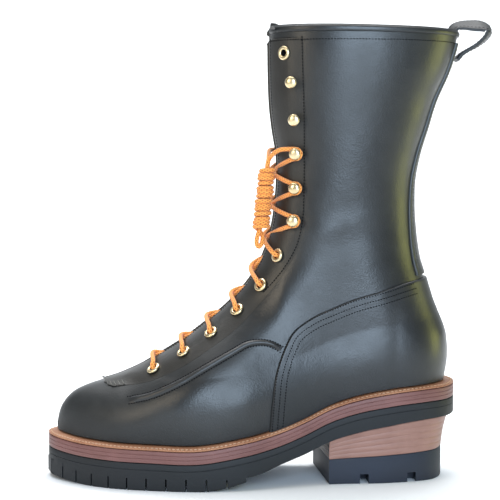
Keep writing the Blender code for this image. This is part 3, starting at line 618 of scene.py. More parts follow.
def tube_mesh(name: str, path: Array, radius: float, sides: int = 12) -> Mesh:
    """Closed round tube along a path, with a UV map of turns across and millimetres along.

    Args:
        name: name of the mesh.
        path: points of the tube's middle line.
        radius: radius of the tube.
        sides: corners of its section.

    Returns:
        The mesh.
    """
    path = np.asarray(path, float)
    ahead = heading(path)
    side = np.cross(ahead[0], (0.0, 0.3, 1.0))
    rings = []
    angle = np.linspace(0.0, 2 * math.pi, sides, endpoint=False)
    for p, t in zip(path, ahead):
        side = side - t * side.dot(t)
        side /= np.linalg.norm(side)
        over = np.cross(t, side)
        rings.append(p + radius * (np.outer(np.cos(angle), side) + np.outer(np.sin(angle), over)))
    count = len(path)
    tips = ahead * radius * 0.6
    points = np.concatenate([*rings, path[:1] - tips[:1], path[-1:] + tips[-1:]])
    run = run_of(path)
    faces, places = bands(count, sides), []
    for i in range(count - 1):
        for k in range(sides):
            u, v = k / sides, (k + 1) / sides
            places += [(u, run[i]), (v, run[i]), (v, run[i + 1]), (u, run[i + 1])]
    for tip, ring, at in ((count * sides, 0, run[0]), (count * sides + 1, (count - 1) * sides, run[-1])):
        for k in range(sides):
            n = (k + 1) % sides
            faces.append((tip, ring + n, ring + k) if ring == 0 else (tip, ring + k, ring + n))
            places += [(k / sides, at)] * 3
    mesh = mesh_of(name, points, faces, 70.0)
    layer = mesh.uv_layers.new(name="along")
    layer.data.foreach_set("uv", np.array(places, np.float32).ravel())
    return mesh


def joined(name: str, meshes: Sequence[Mesh], sharp: float = 40.0) -> Mesh:
    """One mesh from several, whose own meshes go.

    Args:
        name: name of the mesh.
        meshes: the parts.
        sharp: angle above which an edge is sharp, in degrees.

    Returns:
        The mesh, with the parts' UV maps.
    """
    bm = bmesh.new()
    for mesh in meshes:
        bm.from_mesh(mesh)
        bpy.data.meshes.remove(mesh)
    made = bpy.data.meshes.new(name)
    bm.to_mesh(made)
    bm.free()
    made.shade_smooth()
    made.set_sharp_from_angle(angle=math.radians(sharp))
    return made


class Workshop:
    """Puts finished pieces into the frame and keeps their count."""

    def __init__(self) -> None:
        """Start with no pieces."""
        self.triangles = 0

    def add(
        self, name: str, mesh: Mesh, material: Material | None, slot: Slot, nodes: Sequence[str] = ()
    ) -> Object:
        """Link a mesh as one piece that rides on the boot.

        Args:
            name: name of the piece.
            mesh: its mesh, in place.
            material: its finish; None keeps the finishes that the mesh has.
            slot: the record's slot; not used.
            nodes: CAD nodes that it stands for.

        Returns:
            The object.
        """
        if material is not None:
            mesh.materials.clear()
            mesh.materials.append(material)
        thing = bpy.data.objects.new(name, mesh)
        bpy.context.scene.collection.objects.link(thing)
        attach(thing, BODY)
        if nodes:
            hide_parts(*nodes)
        count = sum(len(p.vertices) - 2 for p in mesh.polygons)
        self.triangles += count
        LOG.info("%s: %d triangles, stands for %s", name, count, ", ".join(nodes) or "nothing")
        return thing


class Tree:
    """A node tree under construction, for shaders or geometry."""

    def __init__(self, tree: NodeTree) -> None:
        """Keep the tree."""
        self.tree = tree

    def node(
        self, kind: str, label: str = "", inputs: dict[str, object] | None = None, **values: object
    ) -> Node:
        """Add a node.

        Args:
            kind: its type.
            label: its label.
            inputs: values of its input sockets.
            values: its properties, which are set first.

        Returns:
            The node.
        """
        made = self.tree.nodes.new(kind)
        made.label = label
        for key, value in values.items():
            setattr(made, key, value)
        for key, value in (inputs or {}).items():
            made.inputs[key].default_value = value
        return made

    def join(self, source: Node, out: str, target: Node, into: str) -> None:
        """Join a named output to a named input."""
        self.tree.links.new(source.outputs[out], target.inputs[into])

    def chain(self, *nodes: Node) -> None:
        """Join the first output of each node to the first input of the next."""
        for source, target in zip(nodes, nodes[1:]):
            self.tree.links.new(source.outputs[0], target.inputs[0])

    def link(self, source: NodeSocket, target: NodeSocket) -> None:
        """Join two sockets."""
        self.tree.links.new(source, target)

    def maths(self, operation: str, a: object, b: object = 0.0) -> NodeSocket:
        """A maths node on two sockets or numbers.

        Args:
            operation: what the node does.
            a: first socket or number.
            b: second socket or number.

        Returns:
            The node's output.
        """
        made = self.node("ShaderNodeMath", operation=operation)
        for socket, value in zip(made.inputs, (a, b)):
            if isinstance(value, NodeSocket):
                self.link(value, socket)
            else:
                socket.default_value = value
        return made.outputs[0]

    def socket(self, name: str, kind: str, inward: bool = True, value: object = None) -> None:
        """Declare a named input or output of a group.

        Args:
            name: its name.
            kind: type of socket.
            inward: an input, or else an output.
            value: its usual value.
        """
        made = self.tree.interface.new_socket(name, in_out="INPUT" if inward else "OUTPUT", socket_type=kind)
        if value is not None:
            made.default_value = value


class GeometryTools:
    """Node trees that lay out what repeats."""

    def __init__(self) -> None:
        """Build the trees once."""
        self.stitch = self._stitch_tree()
        self.spread = self._spread_tree()

    @staticmethod
    def _tree(name: str) -> tuple[Tree, Node, Node]:
        """A tree with a mesh in and out and a material, and its two ends.

        Args:
            name: name of the tree.

        Returns:
            The tree, its input and its output.
        """
        t = Tree(bpy.data.node_groups.new(name, "GeometryNodeTree"))
        t.socket("Geometry", "NodeSocketGeometry")
        t.socket("Geometry", "NodeSocketGeometry", inward=False)
        t.socket("Material", "NodeSocketMaterial")
        return t, t.node("NodeGroupInput"), t.node("NodeGroupOutput")

    def _stitch_tree(self) -> NodeTree:
        """Rounded stitches at even steps along the edges of a mesh.

        Returns:
            The tree.
        """
        t, start, end = self._tree("stitch_run")
        t.socket("Pitch", "NodeSocketFloat", value=0.003)
        t.socket("Size", "NodeSocketVector", value=(0.0005, 0.0005, 0.001))
        curve = t.node("GeometryNodeMeshToCurve")
        points = t.node("GeometryNodeCurveToPoints", mode="LENGTH")
        ball = t.node("GeometryNodeMeshUVSphere", inputs={"Segments": 6, "Rings": 4, "Radius": 1.0})
        copies = t.node("GeometryNodeInstanceOnPoints")
        real = t.node("GeometryNodeRealizeInstances")
        smooth = t.node("GeometryNodeSetShadeSmooth")
        paint = t.node("GeometryNodeSetMaterial")
        t.chain(start, curve, points, copies, real, smooth, paint, end)
        t.join(start, "Pitch", points, "Length")
        t.join(points, "Rotation", copies, "Rotation")
        t.join(ball, "Mesh", copies, "Instance")
        t.join(start, "Size", copies, "Scale")
        t.join(start, "Material", paint, "Material")
        return t.tree

    def _spread_tree(self) -> NodeTree:
        """Copies of one object on the points of a mesh, each along its own outward direction.

        Returns:
            The tree.
        """
        t, start, end = self._tree("spread_on_points")
        t.socket("Copy", "NodeSocketObject")
        copy = t.node("GeometryNodeObjectInfo")
        points = t.node("GeometryNodeMeshToPoints")
        up = t.node("GeometryNodeInputNamedAttribute", data_type="FLOAT_VECTOR", inputs={"Name": "up"})
        turn = t.node("FunctionNodeAlignRotationToVector", axis="Z")
        copies = t.node("GeometryNodeInstanceOnPoints")
        real = t.node("GeometryNodeRealizeInstances")
        paint = t.node("GeometryNodeSetMaterial")
        t.chain(start, points, copies, real, paint, end)
        t.join(start, "Copy", copy, "Object")
        t.join(up, "Attribute", turn, "Vector")
        t.join(copy, "Geometry", copies, "Instance")
        t.join(turn, "Rotation", copies, "Rotation")
        t.join(start, "Material", paint, "Material")
        return t.tree

    def run(self, tree: NodeTree, mesh: Mesh, values: dict[str, object]) -> Mesh:
        """Mesh that a tree makes of a mesh.

        Args:
            tree: one of the trees.
            mesh: its input; it goes afterwards.
            values: the tree's named inputs.

        Returns:
            The mesh with its copies made real.
        """
        thing = bpy.data.objects.new("layout", mesh)
        bpy.context.scene.collection.objects.link(thing)
        step = thing.modifiers.new("layout", "NODES")
        step.node_group = tree
        for item in tree.interface.items_tree:
            if item.in_out == "INPUT" and item.name in values:
                step[item.identifier] = values[item.name]
        thing.update_tag()
        bpy.context.view_layer.update()
        made = bpy.data.meshes.new_from_object(thing.evaluated_get(bpy.context.evaluated_depsgraph_get()))
        thing.modifiers.remove(step)
        bpy.data.objects.remove(thing)
        bpy.data.meshes.remove(mesh)
        return made

    def stitches(
        self, lines: Sequence[Array], pitch: float, length: float, width: float, material: Material
    ) -> Mesh:
        """Stitches along lines, in millimetres.

        Args:
            lines: the lines.
            pitch: step from stitch to stitch.
            length: length of a stitch.
            width: its thickness.
            material: its finish.

        Returns:
            The mesh.
        """
        points, edges, base = [], [], 0
        for line in lines:
            points.append(to_metres(line))
            edges += [(base + i, base + i + 1) for i in range(len(line) - 1)]
            base += len(line)
        mesh = bpy.data.meshes.new("stitch_lines")
        mesh.from_pydata(np.concatenate(points).tolist(), edges, [])
        size = (width * MM / 2, width * MM / 2, length * MM / 2)
        return self.run(self.stitch, mesh, {"Pitch": pitch * MM, "Size": size, "Material": material})

    def copies(
        self, shape: Mesh, spots: Array, ups: Array, material: Material
    ) -> Mesh:
        """Copies of a shape on spots, in millimetres, each along its own direction.

        Args:
            shape: mesh to copy, it goes afterwards.
            spots: places of the copies.
            ups: their directions.
            material: their finish.

        Returns:
            The mesh.
        """
        mesh = bpy.data.meshes.new("spots")
        mesh.from_pydata(to_metres(spots).tolist(), [], [])
        layer = mesh.attributes.new("up", "FLOAT_VECTOR", "POINT")
        layer.data.foreach_set("vector", np.asarray(ups, np.float32).ravel())
        master = bpy.data.objects.new("master", shape)
        bpy.context.scene.collection.objects.link(master)
        made = self.run(self.spread, mesh, {"Copy": master, "Material": material})
        bpy.data.objects.remove(master)
        bpy.data.meshes.remove(shape)
        made.shade_smooth()
        made.set_sharp_from_angle(angle=math.radians(45.0))
        return made


class ShaderGroups:
    """Effects that several finishes share."""

    def __init__(self) -> None:
        """Build the groups once."""
        self.grain = self._grain()
        self.patches = self._patches()
        self.strata = self._strata()
        self.weave = self._weave()
        self.height = self._height()

    @staticmethod
    def _group(
        name: str, outs: Sequence[str], **values: float
    ) -> tuple[Tree, Node, Node]:
        """An empty shader group.

        Args:
            name: name of the group.
            outs: names of its outputs; all but Normal are numbers.
            values: its inputs and their usual values.

        Returns:
            Its tree and its two ends.
        """
        tree = Tree(bpy.data.node_groups.new(name, "ShaderNodeTree"))
        for key, value in values.items():
            tree.socket(key, "NodeSocketFloat", value=value)
        for key in outs:
            tree.socket(key, "NodeSocketVector" if key == "Normal" else "NodeSocketFloat", inward=False)
        return tree, tree.node("NodeGroupInput"), tree.node("NodeGroupOutput")

    def _grain(self) -> NodeTree:
        """Pebbled surface of leather or rubber, as a normal.

        Returns:
            The group.
        """
        t, start, end = self._group("grain", ("Normal",), Scale=900.0, Depth=0.3)
        where = t.node("ShaderNodeTexCoord")
        cells = t.node("ShaderNodeTexVoronoi", feature="SMOOTH_F1", inputs={"Smoothness": 0.6})
        folds = t.node("ShaderNodeTexNoise", inputs={"Scale": 160.0, "Detail": 4.0})
        t.join(where, "Object", cells, "Vector")
        t.join(where, "Object", folds, "Vector")
        t.join(start, "Scale", cells, "Scale")
        swell = t.node("ShaderNodeTexNoise", inputs={"Scale": 42.0, "Detail": 2.0})
        t.join(where, "Object", swell, "Vector")
        fine = t.maths("ADD", t.maths("MULTIPLY", cells.outputs["Distance"], 0.5), folds.outputs["Fac"])
        height = t.maths("ADD", fine, t.maths("MULTIPLY", swell.outputs["Fac"], 2.6))
        bump = t.node("ShaderNodeBump", inputs={"Distance": 0.0004})
        t.link(height, bump.inputs["Height"])
        t.join(start, "Depth", bump, "Strength")
        t.join(bump, "Normal", end, "Normal")
        return t.tree

    def _patches(self) -> NodeTree:
        """Soft uneven patches, from 0 to 1.

        Returns:
            The group.
        """
        t, start, end = self._group("patches", ("Mask",), Scale=20.0, Low=0.35, High=0.7)
        where = t.node("ShaderNodeTexCoord")
        noise = t.node("ShaderNodeTexNoise", inputs={"Detail": 5.0, "Roughness": 0.6})
        spread = t.node("ShaderNodeMapRange", interpolation_type="SMOOTHSTEP")
        t.join(where, "Object", noise, "Vector")
        t.join(start, "Scale", noise, "Scale")
        t.join(noise, "Fac", spread, "Value")
        t.join(start, "Low", spread, "From Min")
        t.join(start, "High", spread, "From Max")
        t.join(spread, "Result", end, "Mask")
        return t.tree

    def _strata(self) -> NodeTree:
        """Fine level lines with a little waver, from 0 to 1.

        Returns:
            The group.
        """
        t, start, end = self._group("strata", ("Mask",), Scale=500.0, Waver=0.8)
        where = t.node("ShaderNodeTexCoord")
        flat = t.node("ShaderNodeMapping", inputs={"Scale": (0.06, 0.06, 1.0)})
        noise = t.node("ShaderNodeTexNoise", inputs={"Detail": 3.0})
        t.join(where, "Object", flat, "Vector")
        t.join(flat, "Vector", noise, "Vector")
        t.join(start, "Scale", noise, "Scale")
        t.join(start, "Waver", noise, "Distortion")
        t.join(noise, "Fac", end, "Mask")
        return t.tree

    def _height(self) -> NodeTree:
        """Mask that rises from 0 to 1 between two heights of the boot, with a little waver.

        Returns:
            The group.
        """
        t, start, end = self._group("height", ("Mask",), Low=0.0, High=0.1)
        where = t.node("ShaderNodeTexCoord")
        parts = t.node("ShaderNodeSeparateXYZ")
        noise = t.node("ShaderNodeTexNoise", inputs={"Scale": 30.0})
        spread = t.node("ShaderNodeMapRange", interpolation_type="SMOOTHSTEP")
        t.join(where, "Object", parts, "Vector")
        t.join(where, "Object", noise, "Vector")
        waver = t.maths("MULTIPLY", t.maths("SUBTRACT", noise.outputs["Fac"], 0.5), 0.02)
        t.link(t.maths("ADD", parts.outputs["Z"], waver), spread.inputs["Value"])
        t.join(start, "Low", spread, "From Min")
        t.join(start, "High", spread, "From Max")
        t.join(spread, "Result", end, "Mask")
        return t.tree

    def _weave(self) -> NodeTree:
        """Braid of a round cord on its own UV map: a normal and its height.

        Returns:
            The group.
        """
        t, start, end = self._group("weave", ("Normal", "Height"), Around=5.0, Pitch=3.0)
        where = t.node("ShaderNodeUVMap", uv_map="along")
        parts = t.node("ShaderNodeSeparateXYZ")
        t.join(where, "UV", parts, "Vector")
        turn = t.maths("MULTIPLY", parts.outputs["X"], start.outputs["Around"])
        step = t.maths("DIVIDE", parts.outputs["Y"], start.outputs["Pitch"])
        one = t.maths("SINE", t.maths("MULTIPLY", t.maths("ADD", turn, step), 2 * math.pi))
        two = t.maths("SINE", t.maths("MULTIPLY", t.maths("SUBTRACT", turn, step), 2 * math.pi))
        height = t.maths("ADD", t.maths("MULTIPLY", t.maths("MAXIMUM", one, two), 0.5), 0.5)
        bump = t.node("ShaderNodeBump", inputs={"Distance": 0.0003, "Strength": 0.7})
        t.link(height, bump.inputs["Height"])
        t.join(bump, "Normal", end, "Normal")
        # The height also picks the lace's colour, which paints shade into the grooves between the strands.
        t.link(height, end.inputs["Height"])
        return t.tree


class Texture(Enum):
    """Which group shapes a finish's surface."""

    GRAIN = "grain"
    STRATA = "strata"
    WEAVE = "weave"


@dataclass(frozen=True)
class Finish:
    """One kind of surface; its colours are linear."""

    name: str
    colour: tuple[float, float, float]
    second: tuple[float, float, float]
    rough: float = 0.45
    rough_spread: float = 0.08
    metal: float = 0.0
    coat: float = 0.0
    sheen: float = 0.0
    specular: float = 0.5
    texture: Texture = Texture.GRAIN
    scale: float = 900.0
    depth: float = 0.3
    patch_scale: float = 20.0
    fade: tuple[float, float] | None = None
    dulling: float = 0.3

    def build(self, groups: ShaderGroups) -> Material:
        """Material of the finish.

        Args:
            groups: the shared effects.

        Returns:
            The material, with its own Principled shader.
        """
        made = bpy.data.materials.new(self.name)
        made.use_nodes = True
        t = Tree(made.node_tree)
        shader = made.node_tree.nodes["Principled BSDF"]
        shader.inputs["Metallic"].default_value = self.metal
        shader.inputs["Coat Weight"].default_value = self.coat
        shader.inputs["Coat Roughness"].default_value = 0.3
        shader.inputs["Sheen Weight"].default_value = self.sheen
        shader.inputs["Specular IOR Level"].default_value = self.specular
        patches = t.node(
            "ShaderNodeGroup", "uneven tone", node_tree=groups.patches,
            inputs={"Scale": self.patch_scale},
        )
        mix = t.node(
            "ShaderNodeMix", "tone", data_type="RGBA",
            inputs={"A": (*self.colour, 1.0), "B": (*self.second, 1.0)},
        )
        mask = patches.outputs["Mask"]
        if self.texture is Texture.STRATA:
            lines = t.node("ShaderNodeGroup", "layers", node_tree=groups.strata, inputs={"Scale": self.scale})
            mask = t.maths("MULTIPLY", t.maths("ADD", lines.outputs["Mask"], mask), 0.6)
            bump = t.node("ShaderNodeBump", inputs={"Distance": 0.0003, "Strength": self.depth})
            t.join(lines, "Mask", bump, "Height")
            t.join(bump, "Normal", shader, "Normal")
        elif self.texture is Texture.WEAVE:
            braid = t.node("ShaderNodeGroup", "braid", node_tree=groups.weave)
            t.join(braid, "Normal", shader, "Normal")
            # The braid's height picks the colour: the grooves take the first, darker colour as painted shade.
            mask = braid.outputs["Height"]
        else:
            grain = t.node(
                "ShaderNodeGroup", "grain", node_tree=groups.grain,
                inputs={"Scale": self.scale, "Depth": self.depth},
            )
            t.join(grain, "Normal", shader, "Normal")
        if self.fade is not None:
            height = t.node("ShaderNodeGroup", "dull foot", node_tree=groups.height)
            height.inputs["Low"].default_value, height.inputs["High"].default_value = self.fade
            gloss = t.maths("ADD", t.maths("MULTIPLY", height.outputs["Mask"], 0.6), 0.4)
            t.link(t.maths("MULTIPLY", gloss, self.coat), shader.inputs["Coat Weight"])
            dull = t.maths("ADD", t.maths("MULTIPLY", height.outputs["Mask"], -self.dulling), self.dulling)
        t.link(mask, mix.inputs["Factor"])
        t.join(mix, "Result", shader, "Base Color")
        rough = t.maths("MULTIPLY", patches.outputs["Mask"], self.rough_spread)
        if self.fade is not None:
            rough = t.maths("ADD", rough, dull)
        t.link(t.maths("ADD", rough, self.rough), shader.inputs["Roughness"])
        return made


@dataclass
class Bench:
    """What every sub-assembly builds with."""

    shop: Workshop
    tools: GeometryTools
    sole: SoleForm
    upper: UpperForm
    paint: dict[str, Material]

    def add(self, name: str, mesh: Mesh, finish: str, slot: Slot, *nodes: str) -> Object:
        """Add a mesh in one finish, in place of CAD nodes."""
        return self.shop.add(name, mesh, self.paint[finish], slot, nodes)

    def sew(
        self, name: str, lines: Sequence[Array], stitch: tuple[float, float, float], thread: str,
        slot: Slot = Slot.LEATHER,
    ) -> None:
        """Add stitches along lines.

        Args:
            name: name of the piece.
            lines: the lines, in millimetres.
            stitch: pitch, length and width of a stitch.
            thread: finish of the thread.
            slot: the record's slot.
        """
        self.shop.add(name, self.tools.stitches(lines, *stitch, self.paint[thread]), None, slot)

    def spread(
        self, name: str, shape: Mesh, spots: Sequence, ups: Sequence, finish: str, slot: Slot,
        nodes: Sequence[str] = (),
    ) -> None:
        """Add copies of a shape on spots.

        Args:
            name: name of the piece.
            shape: mesh to copy, about Z at the origin; it goes afterwards.
            spots: places of the copies, in millimetres.
            ups: direction of each copy.
            finish: finish of the copies.
            slot: the record's slot.
            nodes: CAD nodes that they stand for.
        """
        mesh = self.tools.copies(shape, np.array(spots), np.array(ups), self.paint[finish])
        self.shop.add(name, mesh, None, slot, nodes)


@dataclass
class Bottom:
    """Outsole, midsole, welt and insole."""

    bench: Bench
    stations: int = 161
    lug_pitch: float = 14.4
    lug_end: float = 3.5
    cross_pitch: float = 21.0
    groove_drop: float = 4.5
    welt_inset: float = 12.6
    stitch_inset: float = 2.1
    stud: Rows = ((-0.6, 0.0), (-0.6, 3.4), (0.5, 3.3), (1.3, 2.3), (1.6, 1.2), (1.6, 0.0))
    stud_x: tuple[float, ...] = (12.0, 22.0, 32.0, 42.0)
    stud_y: tuple[float, ...] = (-24.0, 20.0)
    stud_slant: float = 0.07
    nail: Rows = ((-0.4, 0.0), (-0.4, 0.9), (0.1, 0.85), (0.25, 0.5), (0.3, 0.0))
    nail_inset: float = 6.0
    nail_pitch: float = 12.6
    nail_sunk: float = 0.25
    lug_first: float = 7.5
    lug_half: Rows = (
        (0.0, 6.65), (0.07, 6.5), (0.24, 4.4), (0.45, 3.5), (0.7, 3.8), (0.93, 4.6), (1.0, 3.7),
    )
    crosses: Rows = ((5, -102.0, 9.5, -2.4), (4, -91.5, -6.5, -2.6))
    cross_arm: float = 7.2
    cross_half: float = 2.6
    board_inset: float = 3.0
    board_thick: float = 4.6

    def layer(self, inset: float, height: Callable[[Array], Array], stations: int = 0) -> Array:
        """Loop of the plan at a height."""
        plan = self.bench.sole.ring(inset, stations or self.stations)
        return np.column_stack([plan, height(plan[:, 0])])

    def build(self) -> None:
        """Build and add every piece."""
        self.outsole()
        self.studs()
        self.midsole()
        self.welt()
        self.insole()

    def outsole(self) -> None:
        """Rubber body with a fine groove, and its lugs."""
        sole = self.bench.sole
        under, over = sole.under, sole.over
        drop = self.groove_drop
        steps = [(0.5, under, 0.0), (0.1, under, 0.2), (0.0, under, 0.8)]
        groove = ((0.0, -0.4), (0.3, -0.1), (0.3, 0.1), (0.0, 0.4))
        steps += [(inset, over, step - drop) for inset, step in groove]
        steps += [(0.0, over, -0.8), (0.25, over, -0.25), (0.8, over, 0.0)]
        rings = [self.layer(i, lambda x, f=f, d=d: f(x) + d) for i, f, d in steps]
        body = stack_mesh("outsole_body", rings)
        mesh = joined("tread_outsole", [body, *self.lugs()])
        self.bench.add("tread_outsole", mesh, "rubber", Slot.RUBBER, "outsole")

    def lugs(self) -> list[Mesh]:
        """Bars along both edges and crosses between them.

        Returns:
            One mesh for each lug.
        """
        sole, made = self.bench.sole, []
        edges = sole.outline(0.12, np.linspace(0.0, math.pi, 401))
        for points, turn in zip(edges, (1.0, -1.0)):
            run, distance = run_of(points), self.lug_first
            while True:
                p, q = at_run(points, run, np.array((distance, distance + 0.5)))
                if p[0] > self.lug_end - 6.2:
                    break
                ahead = (q - p) / np.linalg.norm(q - p)
                inward = np.array([-ahead[1], ahead[0]]) * turn
                depth = 15.0 if distance < 10 else 21.0 if distance < 28 else 25.0
                ring = [p + inward * r * depth - ahead * h for r, h in self.lug_half]
                ring += [p + inward * r * depth + ahead * h for r, h in reversed(self.lug_half)]
                made.append(self.lug(np.array(ring)))
                distance += self.lug_pitch
        for count, x, y, step in self.crosses:
            for k in range(count):
                ring = self.cross(x + self.cross_pitch * k, y + step * k, self.cross_arm, self.cross_half)
                made.append(self.lug(ring))
        return made

    @staticmethod
    def cross(x: float, y: float, arm: float, half: float) -> Array:
        """Loop of an upright cross with four rounded petals.

        Args:
            x: middle along the boot.
            y: middle across it.
            arm: length of a petal.
            half: half its width.

        Returns:
            The (x, y) points of the loop.
        """
        quarter = [(half, -half), (arm * 0.72, -half * 1.25), (arm * 0.93, -half * 0.7), (arm, 0.0)]
        quarter += [(arm * 0.93, half * 0.7), (arm * 0.72, half * 1.25)]
        ring = []
        for turn in range(4):
            c, s = math.cos(turn * math.pi / 2), math.sin(turn * math.pi / 2)
            ring += [(x + u * c - v * s, y + u * s + v * c) for u, v in quarter]
        return np.array(ring)

    def lug(self, ring: Array) -> Mesh:
        """Upright block on a loop, with its lower edge eased.

        Args:
            ring: the (x, y) points of the loop.

        Returns:
            The mesh.
        """
        sole = self.bench.sole
        centre = ring.mean(axis=0)
        low = sole.tread(ring[:, 0])
        layers = [np.column_stack([ring, sole.under(ring[:, 0]) + 2.5])]
        for rise, shrink in ((0.9, 0.0), (0.3, 0.3), (0.0, 0.9)):
            away = ring - centre
            away = away * (1 - shrink / np.maximum(np.linalg.norm(away, axis=1), 1.0))[:, None]
            layers.append(np.column_stack([centre + away, low + rise]))
        count = len(ring)
        faces = [*bands(4, count), tuple(range(count)), tuple(range(3 * count, 4 * count))]
        return turn_out(mesh_of("lug", np.concatenate(layers), faces))

    def studs(self) -> None:
        """Round studs under the waist, with a nail in each, and nails in the toe's bars."""
        sole, down = self.bench.sole, (0.0, 0.0, -1.0)
        rows = [(x, y + self.stud_slant * x) for y in self.stud_y for x in self.stud_x]
        studs = [(x, y, float(sole.under(x))) for x, y in rows]
        shape = lathe_mesh("stud", self.stud, 18)
        self.bench.spread("tread_studs", shape, studs, [down] * len(studs), "rubber", Slot.RUBBER)
        nails = [(x, y, z - self.stud[-1][0]) for x, y, z in studs]
        for points in sole.outline(self.nail_inset, np.linspace(0.0, math.pi, 401)):
            for x, y in at_run(points, run_of(points), self.nail_inset + self.nail_pitch * np.arange(4)):
                nails.append((x, y, float(sole.tread(x)) + self.nail_sunk))
        shape = lathe_mesh("nail", self.nail, 12)
        self.bench.spread("sole_nails", shape, nails, [down] * len(nails), "brass", Slot.BRASS)

    def midsole(self) -> None:
        """Leather layer with eased edges and the lines of its plies."""
        sole = self.bench.sole
        thick = sole.midsole_thick
        steps = [(0.8, 0.0), (0.2, 0.2), (0.0, 0.8)]
        for share in (0.36, 0.68):
            steps += [(0.0, thick * share - 0.3), (0.25, thick * share), (0.0, thick * share + 0.3)]
        steps += [(0.0, thick - 0.7), (0.25, thick - 0.2), (0.9, thick)]
        rings = [self.layer(i, lambda x, d=d: sole.over(x) + sole.gap + d) for i, d in steps]
        mesh = stack_mesh("leather_midsole", rings)
        self.bench.add("leather_midsole", mesh, "midsole", Slot.MIDSOLE, "midsole")

    def welt(self) -> None:
        """Welt ring with rounded edges, and the stitches on it."""
        sole, thick = self.bench.sole, self.bench.sole.welt_thick
        steps = [(self.welt_inset, 0.0), (0.7, 0.0), (0.1, 0.3), (0.0, 0.8), (0.2, 1.15), (0.8, 1.4)]
        steps += [(1.5, 1.45), (2.1, 1.3), (2.8, 1.65), (3.8, 2.05), (5.6, thick), (self.welt_inset, thick)]
        rings = [self.layer(i, lambda x, d=d: sole.welt_low(x) + d) for i, d in steps]
        mesh = stack_mesh("leather_welt", rings, ladder=False)
        self.bench.add("leather_welt", mesh, "welt", Slot.WELT, "welt")
        line = self.layer(self.stitch_inset, lambda x: sole.welt_low(x) + 1.4, 401)
        line = np.concatenate([line, line[:1]])
        self.bench.sew("welt_stitches", [line], (3.1, 2.7, 1.25), "thread_pale", Slot.WELT)

    def insole(self) -> None:
        """Board inside the welt."""
        sole = self.bench.sole
        inset, low = self.welt_inset + self.board_inset, 2 * sole.gap + sole.midsole_thick
        high = low + self.board_thick
        steps = [(inset + 0.6, low), (inset, low + 0.6), (inset, high - 1.0), (inset + 1.0, high)]
        rings = [self.layer(i, lambda x, d=d: sole.over(x) + d) for i, d in steps]
        mesh = stack_mesh("leather_insole", rings)
        self.bench.add("leather_insole", mesh, "board", Slot.LINING, "insole")


